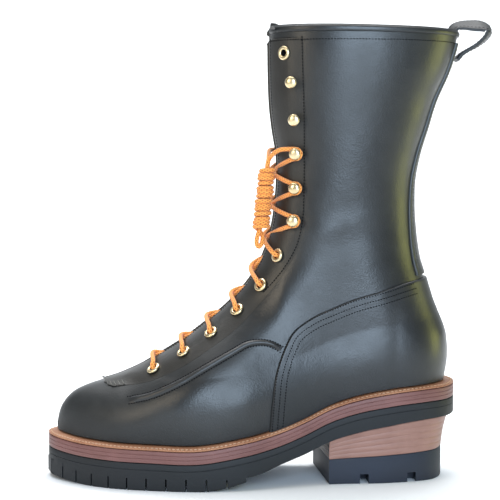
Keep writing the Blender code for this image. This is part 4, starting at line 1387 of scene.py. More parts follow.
@dataclass
class Heel:
    """Leather stack and rubber lift."""

    bench: Bench
    breast_outer: float = 56.0
    breast_inner: float = 50.5
    stack_back: float = 148.4
    lift_back: float = 143.2
    lift_front_top: float = 17.6
    lift_back_top: float = 22.2
    steps: int = 41
    notch_wide: float = 6.4
    notch_tall: float = 7.0
    recess: tuple[float, ...] = (66.0, 124.0, -12.0, 17.0, -1.0, 5.5)
    cross: tuple[float, ...] = (94.0, 2.5, 9.0, 3.0)
    notches: Rows = (
        (78.5, -60.0, -19.0), (113.5, -60.0, -19.0), (74.5, 24.0, 70.0), (96.0, 24.0, 70.0),
        (117.5, 24.0, 70.0),
    )

    def plan(self, inset: float, back: float, shrink: float) -> Array:
        """Loop of the heel, from its outer breast corner round the back to the inner one.

        Args:
            inset: distance inside the sole's edge.
            back: where it ends at the back.
            shrink: its width as a share of the sole's.

        Returns:
            The (x, y) points of the loop.
        """
        edges = []
        outline = self.bench.sole.outline(inset, np.linspace(0.0, math.pi, 801))
        for points, breast in zip(outline, (self.breast_outer, self.breast_inner)):
            end = points[-1]
            x = breast + (end[0] - breast) * np.sin(np.linspace(0.0, math.pi / 2, self.steps))
            y = np.interp(x, points[:, 0], points[:, 1])
            y[-1] = end[1]
            moved = breast + (x - breast) * (back - breast) / (end[0] - breast)
            edges.append(np.stack([moved, end[1] + (y - end[1]) * shrink], axis=1))
        return np.concatenate([edges[0], edges[1][-2::-1]])

    def lift_top(self, x: Array) -> Array:
        """Height of the rubber lift."""
        rise = self.lift_back_top - self.lift_front_top
        return self.lift_front_top + rise * (x - self.breast_inner) / (self.lift_back - self.breast_inner)

    @staticmethod
    def eased(plan: Array, inset: float) -> Array:
        """Loop drawn in towards its middle."""
        away = plan - plan.mean(axis=0)
        return plan - away / np.linalg.norm(away, axis=1)[:, None] * inset

    def build(self) -> None:
        """Build and add both pieces."""
        self.stack()
        self.lift()

    def stack(self) -> None:
        """Stack that narrows to the floor, with the lines of its lifts and a dark breast."""
        sole = self.bench.sole
        plans = self.plan(3.0, self.lift_back + 0.3, 0.96), self.plan(2.6, self.stack_back - 3.4, 0.975)
        plans += (self.plan(2.0, self.stack_back, 1.0),)
        rings = []
        steps = [(0.0, 0.5), (0.02, 0.1)]
        for line in (0.2, 0.4, 0.6, 0.8):
            steps += [(line - 0.02, 0.0), (line, 0.3), (line + 0.02, 0.0)]
        steps += [(0.98, 0.1), (1.0, 0.5)]
        for t, inset in steps:
            a, b, c = (1 - t) * (1 - 2 * t), 4 * t * (1 - t), t * (2 * t - 1)
            plan = self.eased(plans[0] * a + plans[1] * b + plans[2] * c, inset)
            low = self.lift_top(plan[:, 0]) + sole.gap
            high = sole.under(plan[:, 0]) - sole.gap - 0.1
            rings.append(np.column_stack([plan, low + (high - low) * t]))
        mesh = stack_mesh("leather_stack", rings)
        mesh.materials.append(self.bench.paint["stack"])
        mesh.materials.append(self.bench.paint["breast"])
        for face in mesh.polygons:
            if face.normal.x < -0.85:
                face.material_index = 1
        self.bench.shop.add("leather_stack", mesh, None, Slot.STACK, ["heel_stack"])

    def lift(self) -> None:
        """Rubber lift with notches, a recess and a cross in it."""
        plan = self.plan(3.0, self.lift_back, 0.96)
        rings = []
        for inset, top, shift in ((0.8, 0, 0.0), (0.2, 0, 0.3), (0.0, 0, 1.0), (0.0, 1, -0.8), (0.6, 1, 0.0)):
            ring = self.eased(plan, inset)
            rings.append(np.column_stack([ring, top * self.lift_top(ring[:, 0]) + shift]))
        body = bpy.data.objects.new("lift", stack_mesh("rubber_lift", rings))
        bpy.context.scene.collection.objects.link(body)
        boxes = [(x, x + self.notch_wide, a, b, -1.0, self.notch_tall) for x, a, b in self.notches]
        boxes.append(self.recess)
        meshes = []
        for x0, x1, y0, y1, z0, z1 in boxes:
            corners = [(x, y, z) for z in (z0, z1) for x, y in ((x0, y0), (x1, y0), (x1, y1), (x0, y1))]
            faces = [(0, 1, 2, 3), (4, 5, 6, 7), *bands(2, 4)]
            meshes.append(turn_out(mesh_of("cut", np.array(corners), faces)))
        cutter = bpy.data.objects.new("cutter", joined("cuts", meshes))
        bpy.context.scene.collection.objects.link(cutter)
        step = body.modifiers.new("cut", "BOOLEAN")
        step.operation, step.solver, step.object = "DIFFERENCE", "EXACT", cutter
        bpy.context.view_layer.update()
        cut = bpy.data.meshes.new_from_object(body.evaluated_get(bpy.context.evaluated_depsgraph_get()))
        for thing in (body, cutter):
            old = thing.data
            bpy.data.objects.remove(thing)
            bpy.data.meshes.remove(old)
        ring = Bottom.cross(*self.cross)
        count = len(ring)
        points = np.concatenate([np.column_stack([ring, np.full(count, z)]) for z in (7.5, 0.0)])
        faces = [*bands(2, count), tuple(range(count)), tuple(range(count, 2 * count))]
        mesh = joined("rubber_lift", [cut, turn_out(mesh_of("cross", points, faces))])
        self.bench.add("rubber_lift", mesh, "lift", Slot.RUBBER, "heel_lift")


@dataclass
class Leather:
    """Upper, its overlays and its tongue."""

    bench: Bench
    wall: float = 2.4
    bead: float = 1.2
    overlay: float = 1.9
    columns: int = 80
    eyelets: Rows = (
        (-69.3, 81.5), (-47.6, 94.1), (-27.8, 108.0), (-8.8, 124.1), (8.6, 142.3), (20.8, 164.1),
        (25.3, 309.7),
    )
    hole: float = 3.0
    hole_reach: float = 8.0
    eyestay_edge: Rows = (
        (-109.0, 71.4), (-105.0, 69.3), (-101.0, 68.8), (-93.0, 70.0), (-74.0, 74.5), (-52.0, 84.5),
        (-30.0, 98.5), (-8.0, 115.0), (9.8, 134.0), (20.5, 147.5), (28.8, 160.5), (34.6, 173.0),
        (38.2, 190.0), (39.0, 206.0), (39.0, 254.6), (37.4, 300.0), (36.7, 321.0),
    )
    rear_stitch: Rows = (
        (9.8, 138.5), (18.7, 148.6), (27.9, 162.0), (33.7, 173.8), (37.2, 190.0), (38.2, 205.6),
        (38.2, 254.6), (36.8, 300.0), (36.2, 320.5),
    )
    counter_edge: Rows = (
        (12.3, 38.6), (12.8, 46.3), (14.6, 68.0), (16.7, 81.4), (23.5, 101.3), (29.2, 111.1), (42.9, 120.9),
        (57.9, 127.4), (75.1, 133.9), (94.0, 138.9), (115.6, 144.6), (135.0, 147.6),
    )
    counter_rows: tuple[float, ...] = (1.2, 5.0, 8.8)
    tooth_pitch: float = 3.1
    tooth_deep: float = 1.7
    backstay: Rows = ((150.2, 22.0), (200.0, 19.0), (260.0, 15.0), (319.0, 11.0))
    back_y: float = 4.4
    vamp_seam: Rows = (
        (-88.0, 61.9), (-71.6, 66.3), (-50.7, 76.0), (-30.0, 87.8), (-12.7, 97.3), (-2.4, 102.5),
        (7.0, 103.6), (14.0, 102.4), (21.4, 98.6),
    )
    creases: Rows = (
        (-22.0, 66.0, 30.0, 8.0, 62.0, -0.3), (-34.0, 62.0, 28.0, 7.5, 66.0, -0.28),
        (56.0, 170.0, 42.0, 11.0, 22.0, -0.5), (62.0, 197.0, 40.0, 9.0, 12.0, -0.35),
        (52.0, 184.0, 36.0, 8.0, 16.0, 0.3),
    )

    def __post_init__(self) -> None:
        """Bring the lace holes onto the skin."""
        form = self.bench.upper
        self.holes = {
            side.value: [form.frame_at(x, z, side.value) for x, z in self.eyelets] for side in Side
        }

    def relief(self, points: Array) -> Array:
        """Outward step of the soft folds at points of the skin.

        Args:
            points: the points, in the last axis.

        Returns:
            The step at each point.
        """
        made = np.zeros(points.shape[:-1])
        for x, z, along, across, turn, tall in self.creases:
            c, s = math.cos(math.radians(turn)), math.sin(math.radians(turn))
            u = (points[..., 0] - x) * c + (points[..., 2] - z) * s
            v = (points[..., 2] - z) * c - (points[..., 0] - x) * s
            made += tall * np.exp(-((u / along) ** 2) - (v / across) ** 2)
        return made

    def off_holes(self, rows: Array) -> Array:
        """Which cells of a grid on the skin lie clear of the lace holes.

        Args:
            rows: the grid.

        Returns:
            True for each cell that is leather.
        """
        centre = (rows[:-1, :-1] + rows[1:, 1:]) / 2
        keep = np.ones(centre.shape[:2], bool)
        for frames in self.holes.values():
            for base, out in frames:
                away = centre - base
                off = away - (away @ out)[..., None] * out
                keep &= ~((np.linalg.norm(off, axis=2) < self.hole) & (np.abs(away @ out) < self.hole_reach))
        return keep

    def both_sides(self, levels: Array, start: Callable[[float, int], float], spread: Array) -> Array:
        """Rows of points from the outer side round the back to the inner side.

        Args:
            levels: section of each row.
            start: share where a row begins, by level and side.
            spread: places from 0 to 1 along one side.

        Returns:
            The grid of points.
        """
        form, rows = self.bench.upper, []
        for level in levels:
            outer, inner = (form.strip(level, s, start(level, s), 1.0, spread) for s in (-1, 1))
            rows.append(np.concatenate([outer, inner[-2::-1]]))
        return np.array(rows)

    def build(self) -> None:
        """Build and add every piece."""
        self.shell()
        self.counter()
        self.back_strip()
        self.eyestay()
        self.seams()
        self.tongue()

    def shell(self) -> None:
        """Hollow upper with a rolled collar and its lace holes."""
        form = self.bench.upper
        low, bead, top = form.throat_level, form.bead_level, form.collar_level
        levels = np.concatenate([
            np.linspace(0.0, low, 52), np.linspace(low, bead - 0.12, 92)[1:],
            np.linspace(bead - 0.06, top, 14),
        ])
        t = np.linspace(0.0, 1.0, self.columns)
        rows = self.both_sides(levels, form.throat_share, 0.6 * t + 0.4 * (1 - np.cos(math.pi * t)) / 2)
        fold = self.relief(rows)
        up = np.clip((levels - bead) / (top - bead), 0.0, 1.0)
        roll = np.where(up > 0, np.sin(math.pi * np.clip(up * 0.5 + 0.28, 0.0, 1.0)) * 1.35 - 0.15, 0.0)
        outer = fold + (self.bead * roll)[:, None]
        inner = fold - (self.wall + 0.3 * roll)[:, None]
        tip = ramp(up, 0.72, 1.0)[:, None]
        outer, inner = outer - 1.0 * tip, inner + 1.1 * tip
        mesh = wall_mesh("leather_upper", form, rows, outer, inner, self.off_holes(rows))
        self.bench.add("leather_upper", mesh, "shaft", Slot.LEATHER, "upper")
        lines = []
        for side in (-1, 1):
            level = form.bead_level - 0.72
            spread = np.linspace(0.0, 0.96, 160)
            line = form.strip(level, side, form.throat_share(level, side, 1.0), 1.0, spread)
            height = np.interp(line[:, 0], (36.0, 41.0), (self.overlay, 0.0))
            lines.append(np.array([form.off(p, side, h) for p, h in zip(line, height)]))
        self.bench.sew("collar_stitches", lines, (2.2, 1.6, 0.85), "thread_dark")

    def edge_distance(self, points: Array, lines: Sequence[Array]) -> Array:
        """Distance of grid points from polylines on the skin.

        Args:
            points: the grid.
            lines: the polylines.

        Returns:
            The distance at each point.
        """
        flat = points.reshape(-1, 3)
        best = np.full(len(flat), 1e9)
        for line in lines:
            a, b = line[:-1], line[1:]
            ab = b - a
            t = np.einsum("pij,ij->pi", flat[:, None] - a[None], ab) / np.maximum((ab**2).sum(axis=1), 1e-9)
            near = a[None] + np.clip(t, 0, 1)[..., None] * ab[None]
            best = np.minimum(best, np.linalg.norm(flat[:, None] - near, axis=2).min(axis=1))
        return best.reshape(points.shape[:-1])

    @staticmethod
    def rolled(distance: Array, tall: float, ease: float = 1.3) -> Array:
        """Height of an overlay by the distance from its edge."""
        t = np.clip(1 - distance / ease, 0.0, 1.0)
        return 0.25 + (tall - 0.25) * np.sqrt(1 - t * t)

    def counter_patch(self, side: int, rows: int, columns: int) -> Array:
        """Grid on the skin whose first row is the counter's lower edge and whose last row is its top edge.

        Args:
            side: side of the boot.
            rows: number of rows.
            columns: points of a row.

        Returns:
            The grid of points.
        """
        form = self.bench.upper
        edge = resample(spline(self.counter_edge, 12), 161)
        end = np.interp(edge[-1, 1], form.end_z, form.end_x)
        share = (edge[:, 0] - edge[0, 0]) / (end - edge[0, 0])
        share = share / share[-1]
        low_share = np.linspace(0.0, 1.0, 161)
        grid = []
        for v in 1 - (1 - np.linspace(0.0, 1.0, rows)) ** 1.6:
            u = (1 - v) * low_share + v * share
            x = edge[0, 0] + (142.0 - edge[0, 0]) * u
            low = form.sole.feather(x) + 0.8
            low = low + (edge[0, 1] - low[0]) * (1 - low_share) ** 6
            z = (1 - v) * low + v * edge[:, 1]
            x = edge[0, 0] + (np.interp(z, form.end_z, form.end_x) - edge[0, 0]) * u
            fine_u = 1 - (1 - np.linspace(0.0, 1.0, 321)) ** 2
            at = np.linspace(0.0, 1.0, 161)
            x, z = np.interp(fine_u, at, x), np.interp(fine_u, at, z)
            x = np.minimum(x, np.interp(z, form.end_z, form.end_x))
            y = form.skin(x, z, side)
            y[-1] = form.middle_y(x[-1])
            grid.append(resample(np.stack([x, y, z], axis=1), columns))
        return np.array(grid)

    def counter(self) -> None:
        """Heel overlay, with the stitch lines along its edge."""
        form, lines = self.bench.upper, []
        outer, inner = (self.counter_patch(side, 44, 70) for side in (-1, 1))
        rows = np.concatenate([outer, inner[:, -2::-1]], axis=1)
        distance = self.edge_distance(rows, [outer[-1], inner[-1]])
        fold = self.relief(rows)
        face = fold + self.rolled(distance, self.overlay + 0.4)
        mesh = wall_mesh("leather_counter", form, rows, face, fold)
        self.bench.add("leather_counter", mesh, "counter", Slot.LEATHER, "counter")
        for inset in self.counter_rows:
            for side in (-1, 1):
                lines.append(self.inside_line(self.counter_edge, inset, side, self.overlay + 0.35, 12.8))
        self.bench.sew("counter_stitches", lines, (2.0, 1.45, 0.95), "thread_dark")

    def inside_line(self, edge: Rows, inset: float, side: int, height: float, trim: float = 0.0) -> Array:
        """Line on an overlay, a distance inside its edge in the side view.

        Args:
            edge: the edge, with the overlay on the right of its direction.
            inset: distance from the edge.
            side: side of the boot.
            height: height above the skin.
            trim: length left out at the far end.

        Returns:
            Points of the line.
        """
        form = self.bench.upper
        path = resample(spline(edge, 10), 141)
        ahead = heading(path)
        path = path + np.stack([ahead[:, 1], -ahead[:, 0]], axis=1) * inset
        path = path[path[:, 1] > form.sole.feather(path[:, 0]) + 1.0]
        path = path[path[:, 0] < np.interp(path[:, 1], form.end_z, form.end_x) - trim]
        return form.lift(path, side, height)

    def back_strip(self) -> None:
        """Strip up the back, with a stitch line inside each edge."""
        form, wide = self.bench.upper, SmoothTable(self.backstay)
        z = np.linspace(self.backstay[0][0], self.backstay[-1][0], 70)
        fine = np.linspace(0.0, form.collar_level, 2000)
        levels = np.interp(z, np.maximum.accumulate(form.back_z(fine)), fine)

        def start(level: float, side: int) -> float:
            """Share where the strip begins."""
            share = 1 - np.linspace(0.0, 0.75, 600) ** 2
            p = form.place(level, share, side)
            off = np.maximum.accumulate(np.abs(p[:, 1] - self.back_y))
            return float(np.interp(float(wide(form.back_z(level))), off, share))

        t = np.linspace(0.0, 1.0, 22)
        rows = self.both_sides(levels, start, t**1.4)
        edges = [rows[:, 0], rows[:, -1]]
        fold = self.relief(rows)
        tall = self.rolled(self.edge_distance(rows, edges), self.overlay)
        mesh = wall_mesh("leather_backstay", form, rows, fold + tall, fold)
        self.bench.add("leather_backstay", mesh, "shaft", Slot.LEATHER, "backstay")
        lines = []
        for c in (5, 8):
            for column, side in ((c, -1), (rows.shape[1] - 1 - c, 1)):
                line = rows[2:-2, column]
                lines.append(np.array([form.off(p, side, self.overlay - 0.05) for p in line]))
        self.bench.sew("backstay_stitches", lines, (2.6, 2.0, 0.7), "thread_grey")

    def eyestay(self) -> None:
        """Overlay along both sides of the throat, in one piece round its foot."""
        form = self.bench.upper
        edge = resample(spline(self.eyestay_edge, 14), 1601)
        tooth = np.abs(edge[:, 0] / self.tooth_pitch % 1.0 - 0.5) * 2.0
        edge[:, 1] += self.tooth_deep * tooth * (1 - ramp(edge[:, 0], -90.0, -84.0))
        lower = edge[: int(np.argmax(edge[:, 0])) + 1]
        upper = edge[int(np.argmax(edge[:, 0])):]

        def inside(x: Array, z: Array) -> Array:
            """Which points of the side view lie on the eyestay."""
            limit = np.where(z < upper[0, 1], 1e3, np.interp(z, upper[:, 1], upper[:, 0]))
            above = z > np.interp(x, lower[:, 0], lower[:, 1], left=1e3, right=1e3)
            above |= z > upper[0, 1]
            return above & (x < limit) & (x > self.eyestay_edge[0][0])

        top = float(np.interp(321.0, form.fine_z, form.fine_level))
        levels = np.concatenate([np.linspace(5.2, 8.4, 70), np.linspace(8.5, top, 120)])
        t = np.linspace(0.0, 1.0, 26)
        t = 0.55 * t + 0.45 * (1 - np.cos(math.pi * t)) / 2
        rows = []
        for level in levels:
            sides = []
            for side in (-1, 1):
                start = form.throat_share(level, side)
                share = start + (0.5 - start) * np.linspace(0.0, 1.0, 900) ** 1.5
                x, z = form.row(level, share)
                hit = np.flatnonzero(inside(x, z))
                if len(hit) < 3:
                    break
                sides.append(form.strip(level, side, share[hit[0]], share[hit[-1]], t))
            if len(sides) == 2:
                rows.append(np.concatenate([sides[0][::-1], sides[1]]))
        rows = np.array(rows)
        half = len(t)
        keep = self.off_holes(rows)
        keep[:, half - 1] = False
        first = int(np.argmax(np.linalg.norm(rows[:, half - 1] - rows[:, half], axis=1) > 0.01))
        throat = [rows[first:, half - 1], rows[first:, half], rows[-1, :half], rows[-1, half:]]
        fold = self.relief(rows)
        rear = self.edge_distance(rows, [rows[:, 0], rows[:, -1]])
        front = 1 - ramp(rows[..., 0], -100.0, -84.0)
        tall = self.rolled(self.edge_distance(rows, throat), self.overlay)
        soft = ramp(rear, -1.5, 14.0) * (1 - front) + self.rolled(rear, 0.5, 0.7) * front
        tall = np.minimum(tall, 0.06 + (self.overlay - 0.06) * soft)
        mesh = wall_mesh("leather_eyestay", form, rows, fold + tall, fold, keep)
        self.bench.add("leather_eyestay", mesh, "eyestay", Slot.LEATHER, "eyestay")
        lines = []
        for side in (-1, 1):
            lines.append(form.lift(resample(spline(self.rear_stitch, 12), 160), side, 0.62))
            front = []
            for level in np.linspace(9.2, top - 0.1, 140):
                share = form.throat_share(level, side, 3.2)
                p = form.place(level, np.array([share]), side)[0]
                front.append(form.off(p, side, self.overlay - 0.05))
            lines.append(np.array(front))
        self.bench.sew("eyestay_stitches", lines, (2.2, 1.6, 0.85), "thread_dark")
        lines = []
        for side in (-1, 1):
            for x in np.arange(self.eyestay_edge[0][0] + 1.2, -90.0, self.tooth_pitch):
                z = float(np.interp(x, edge[:200, 0], edge[:200, 1]))
                lines.append(form.lift(np.array([(x - 1.0, z + 1.6), (x + 0.9, z - 0.1)]), side, 0.95))
        self.bench.sew("eyestay_teeth", lines, (0.4, 1.0, 0.75), "thread_grey")

    def seams(self) -> None:
        """Raised double seam from the counter to the toe, on both sides."""
        form = self.bench.upper
        path = resample(spline(self.vamp_seam, 14), 121)
        ahead = heading(path)
        out = np.stack([-ahead[:, 1], ahead[:, 0]], axis=1)
        across = np.linspace(-2.4, 2.4, 13)
        tall = 1.8 * np.clip(1 - (across / 1.9) ** 2, 0.0, 1.0) ** 0.6
        at = np.arange(len(path))
        fade = ramp(at, -1.0, 9.0) * (1 - ramp(at, len(path) - 9.0, float(len(path))))
        lines = []
        for side, name in ((Side.OUTER, "lateral"), (Side.INNER, "medial")):
            rows = []
            for p, o in zip(path, out):
                x, z = p[0] + o[0] * across, p[1] + o[1] * across
                rows.append(np.stack([x, form.skin(x, z, side.value), z], axis=1))
            rows = np.array(rows)
            fold = self.relief(rows)
            outer = fold + 0.1 + tall[None] * fade[:, None]
            mesh = wall_mesh(f"vamp_ridge_{name}", form, rows, outer, fold - 0.1)
            self.bench.add(f"vamp_ridge_{name}", mesh, "vamp", Slot.LEATHER, f"vamp_seam_{name}")
            for shift in (-2.3, 2.3):
                lines.append(form.lift(path + out * shift, side.value, 0.15))
        self.bench.sew("vamp_stitches", lines, (2.0, 1.45, 0.8), "thread_dark")

    def tongue(self) -> None:
        """Strip behind the throat, fuller where the throat leaves it free."""
        form = self.bench.upper
        rows, rise = [], []
        t = np.linspace(0.0, 1.0, 15)
        levels = np.linspace(form.throat_level + 0.4, form.collar_level + 0.35, 110)
        for level in levels:
            wide = float(form.throat_gap(form.front_z(level)))
            sides = []
            for side in (-1, 1):
                reach = form.throat_share(level, side, 9.0)
                sides.append(form.place(level, reach * t**2, side))
            line = np.concatenate([sides[0][::-1], sides[1][1:]])
            rows.append(line)
            off = np.abs(line[:, 1] - form.middle_y(line[:, 0]))
            lift = 2.0 * ramp(line[:, 2], 215.0, 245.0) * (1 - ramp(off, wide * 0.25, wide * 0.8))
            rise.append(lift - 0.9 * ramp(off, wide * 0.9, wide * 1.3))
        rows, rise = np.array(rows), np.array(rise)
        tip = ramp(levels, form.collar_level - 0.6, form.collar_level + 0.35)[:, None]
        off = rows[..., 1] - form.middle_y(rows[..., 0])
        rows[..., 2] -= (1.5 + 5.0 * (off / np.abs(off).max()) ** 2) * tip
        tip = ramp(levels, form.collar_level + 0.1, form.collar_level + 0.35)[:, None]
        mesh = wall_mesh("leather_tongue", form, rows, rise - 3.6 - 0.7 * tip, rise - 5.6 + 0.7 * tip)
        self.bench.add("leather_tongue", mesh, "tongue", Slot.LEATHER, "tongue")


@dataclass
class PullLoop:
    """Strap bent over the collar's back."""

    bench: Bench
    thick: float = 2.8
    width: float = 17.0
    middle: float = 4.0
    twist: float = 0.48
    path: Rows = (
        (141.8, 304.0), (145.4, 317.0), (147.8, 326.5), (150.6, 332.6), (156.5, 335.4), (164.5, 336.3),
        (172.5, 336.0), (178.6, 332.8), (180.0, 327.6), (176.4, 322.6), (168.9, 317.6), (161.4, 314.0),
        (156.2, 310.8), (153.0, 306.8),
    )

    def build(self) -> None:
        """Build the strap with rounded edges, and its stitches."""
        line = resample(spline(self.path, 10), 90)
        ahead = heading(line)
        out = np.stack([-ahead[:, 1], ahead[:, 0]], axis=1)
        half, edge = self.thick / 2, self.width / 2
        section = []
        for turn in np.linspace(0.0, 2 * math.pi, 28, endpoint=False):
            c, s = math.cos(turn), math.sin(turn)
            section.append((half * math.copysign(abs(s) ** 0.6, s), edge * math.copysign(abs(c) ** 0.22, c)))
        count = len(section)
        lean = self.twist * np.sin(math.pi * np.linspace(0.0, 1.0, len(line))) ** 3
        points = np.array([
            (p[0] + o[0] * (a + (b - edge) * t), self.middle + b, p[1] + o[1] * (a + (b - edge) * t))
            for p, o, t in zip(line, out, lean) for a, b in section
        ])
        last = (len(line) - 1) * count
        faces = [*bands(len(line), count), tuple(range(count)), tuple(range(last, last + count))]
        mesh = turn_out(mesh_of("leather_loop", points, faces, 50.0))
        self.bench.add("leather_loop", mesh, "loop", Slot.LEATHER, "pull_loop")
        lines = []
        for face in (-1.0, 1.0):
            for y in (self.middle - edge + 2.2, self.middle + edge - 2.2):
                spot = line + out * ((half - 0.08) * face + (y - self.middle - edge) * lean)[:, None]
                lines.append(np.stack([spot[:, 0], np.full(len(spot), y), spot[:, 1]], axis=1)[3:-3])
        self.bench.sew("loop_stitches", lines, (2.8, 2.1, 0.6), "thread_dark")


@dataclass
class Holders:
    """Brass eyelets and lace hooks."""

    bench: Bench
    leather: Leather
    low: float = 1.95
    rim: float = 2.35
    lean: float = 0.5
    hooks: Rows = ((32.5, 189.4), (33.9, 213.1), (34.3, 238.0), (33.1, 262.2), (31.0, 288.5))
    eyelet: Rows = (
        (-5.6, 2.35), (-5.6, 2.75), (-0.5, 2.8), (-0.45, 4.9), (0.3, 5.1), (0.8, 4.85), (1.2, 4.1),
        (1.25, 3.3), (0.9, 2.65), (0.2, 2.4),
    )
    # Near-black sleeve inside each eyelet's bore: painted shade in the hole, not a part of the brass eyelet.
    liner: Rows = ((-5.5, 2.1), (-5.5, 2.38), (0.15, 2.38), (0.15, 2.1))
    hook: Rows = (
        (-0.2, 0.0), (-0.2, 2.5), (0.35, 2.6), (0.85, 2.3), (1.1, 1.8), (1.5, 1.5), (4.4, 1.45), (4.9, 2.1),
        (5.2, 3.7), (5.7, 4.3), (6.4, 4.2), (7.1, 3.5), (7.6, 2.1), (7.8, 0.0),
    )

    def hook_frame(self, k: int, side: int) -> tuple[Array, Array]:
        """Place on the skin and direction of a hook, which leans a little to its side.

        Args:
            k: number of the hook, from below.
            side: side of the boot.

        Returns:
            The place and the direction.
        """
        base, out = self.bench.upper.frame_at(*self.hooks[k], side)
        out = out + np.array((0.0, side * self.lean, 0.0))
        return base, out / np.linalg.norm(out)

    def build(self) -> None:
        """Copy each holder onto its places."""
        frames = [frame for side in (-1, 1) for frame in self.leather.holes[side]]
        spots, ups = [base + out * self.rim for base, out in frames], [out for _, out in frames]
        shape = lathe_mesh("eyelet", self.eyelet, 28, closed=True)
        nodes = self.nodes("eyelet", len(self.leather.eyelets))
        self.bench.spread("brass_eyelets", shape, spots, ups, "brass", Slot.BRASS, nodes)
        # The dark sleeves in the eyelet bores are painted shade.
        shape = lathe_mesh("liner", self.liner, 20, closed=True)
        self.bench.spread("eyelet_liners", shape, spots, ups, "thread_dark", Slot.LEATHER)
        frames = [self.hook_frame(k, side) for side in (-1, 1) for k in range(len(self.hooks))]
        spots, ups = [base + out * self.low for base, out in frames], [out for _, out in frames]
        shape = lathe_mesh("hook", self.hook, 28)
        nodes = self.nodes("hook", len(self.hooks))
        self.bench.spread("brass_hooks", shape, spots, ups, "brass", Slot.BRASS, nodes)

    @staticmethod
    def nodes(kind: str, count: int) -> list[str]:
        """CAD nodes of one kind of holder, the outer side first."""
        return [f"{kind}_{mark}{k + 1}" for mark in "lm" for k in range(count)]


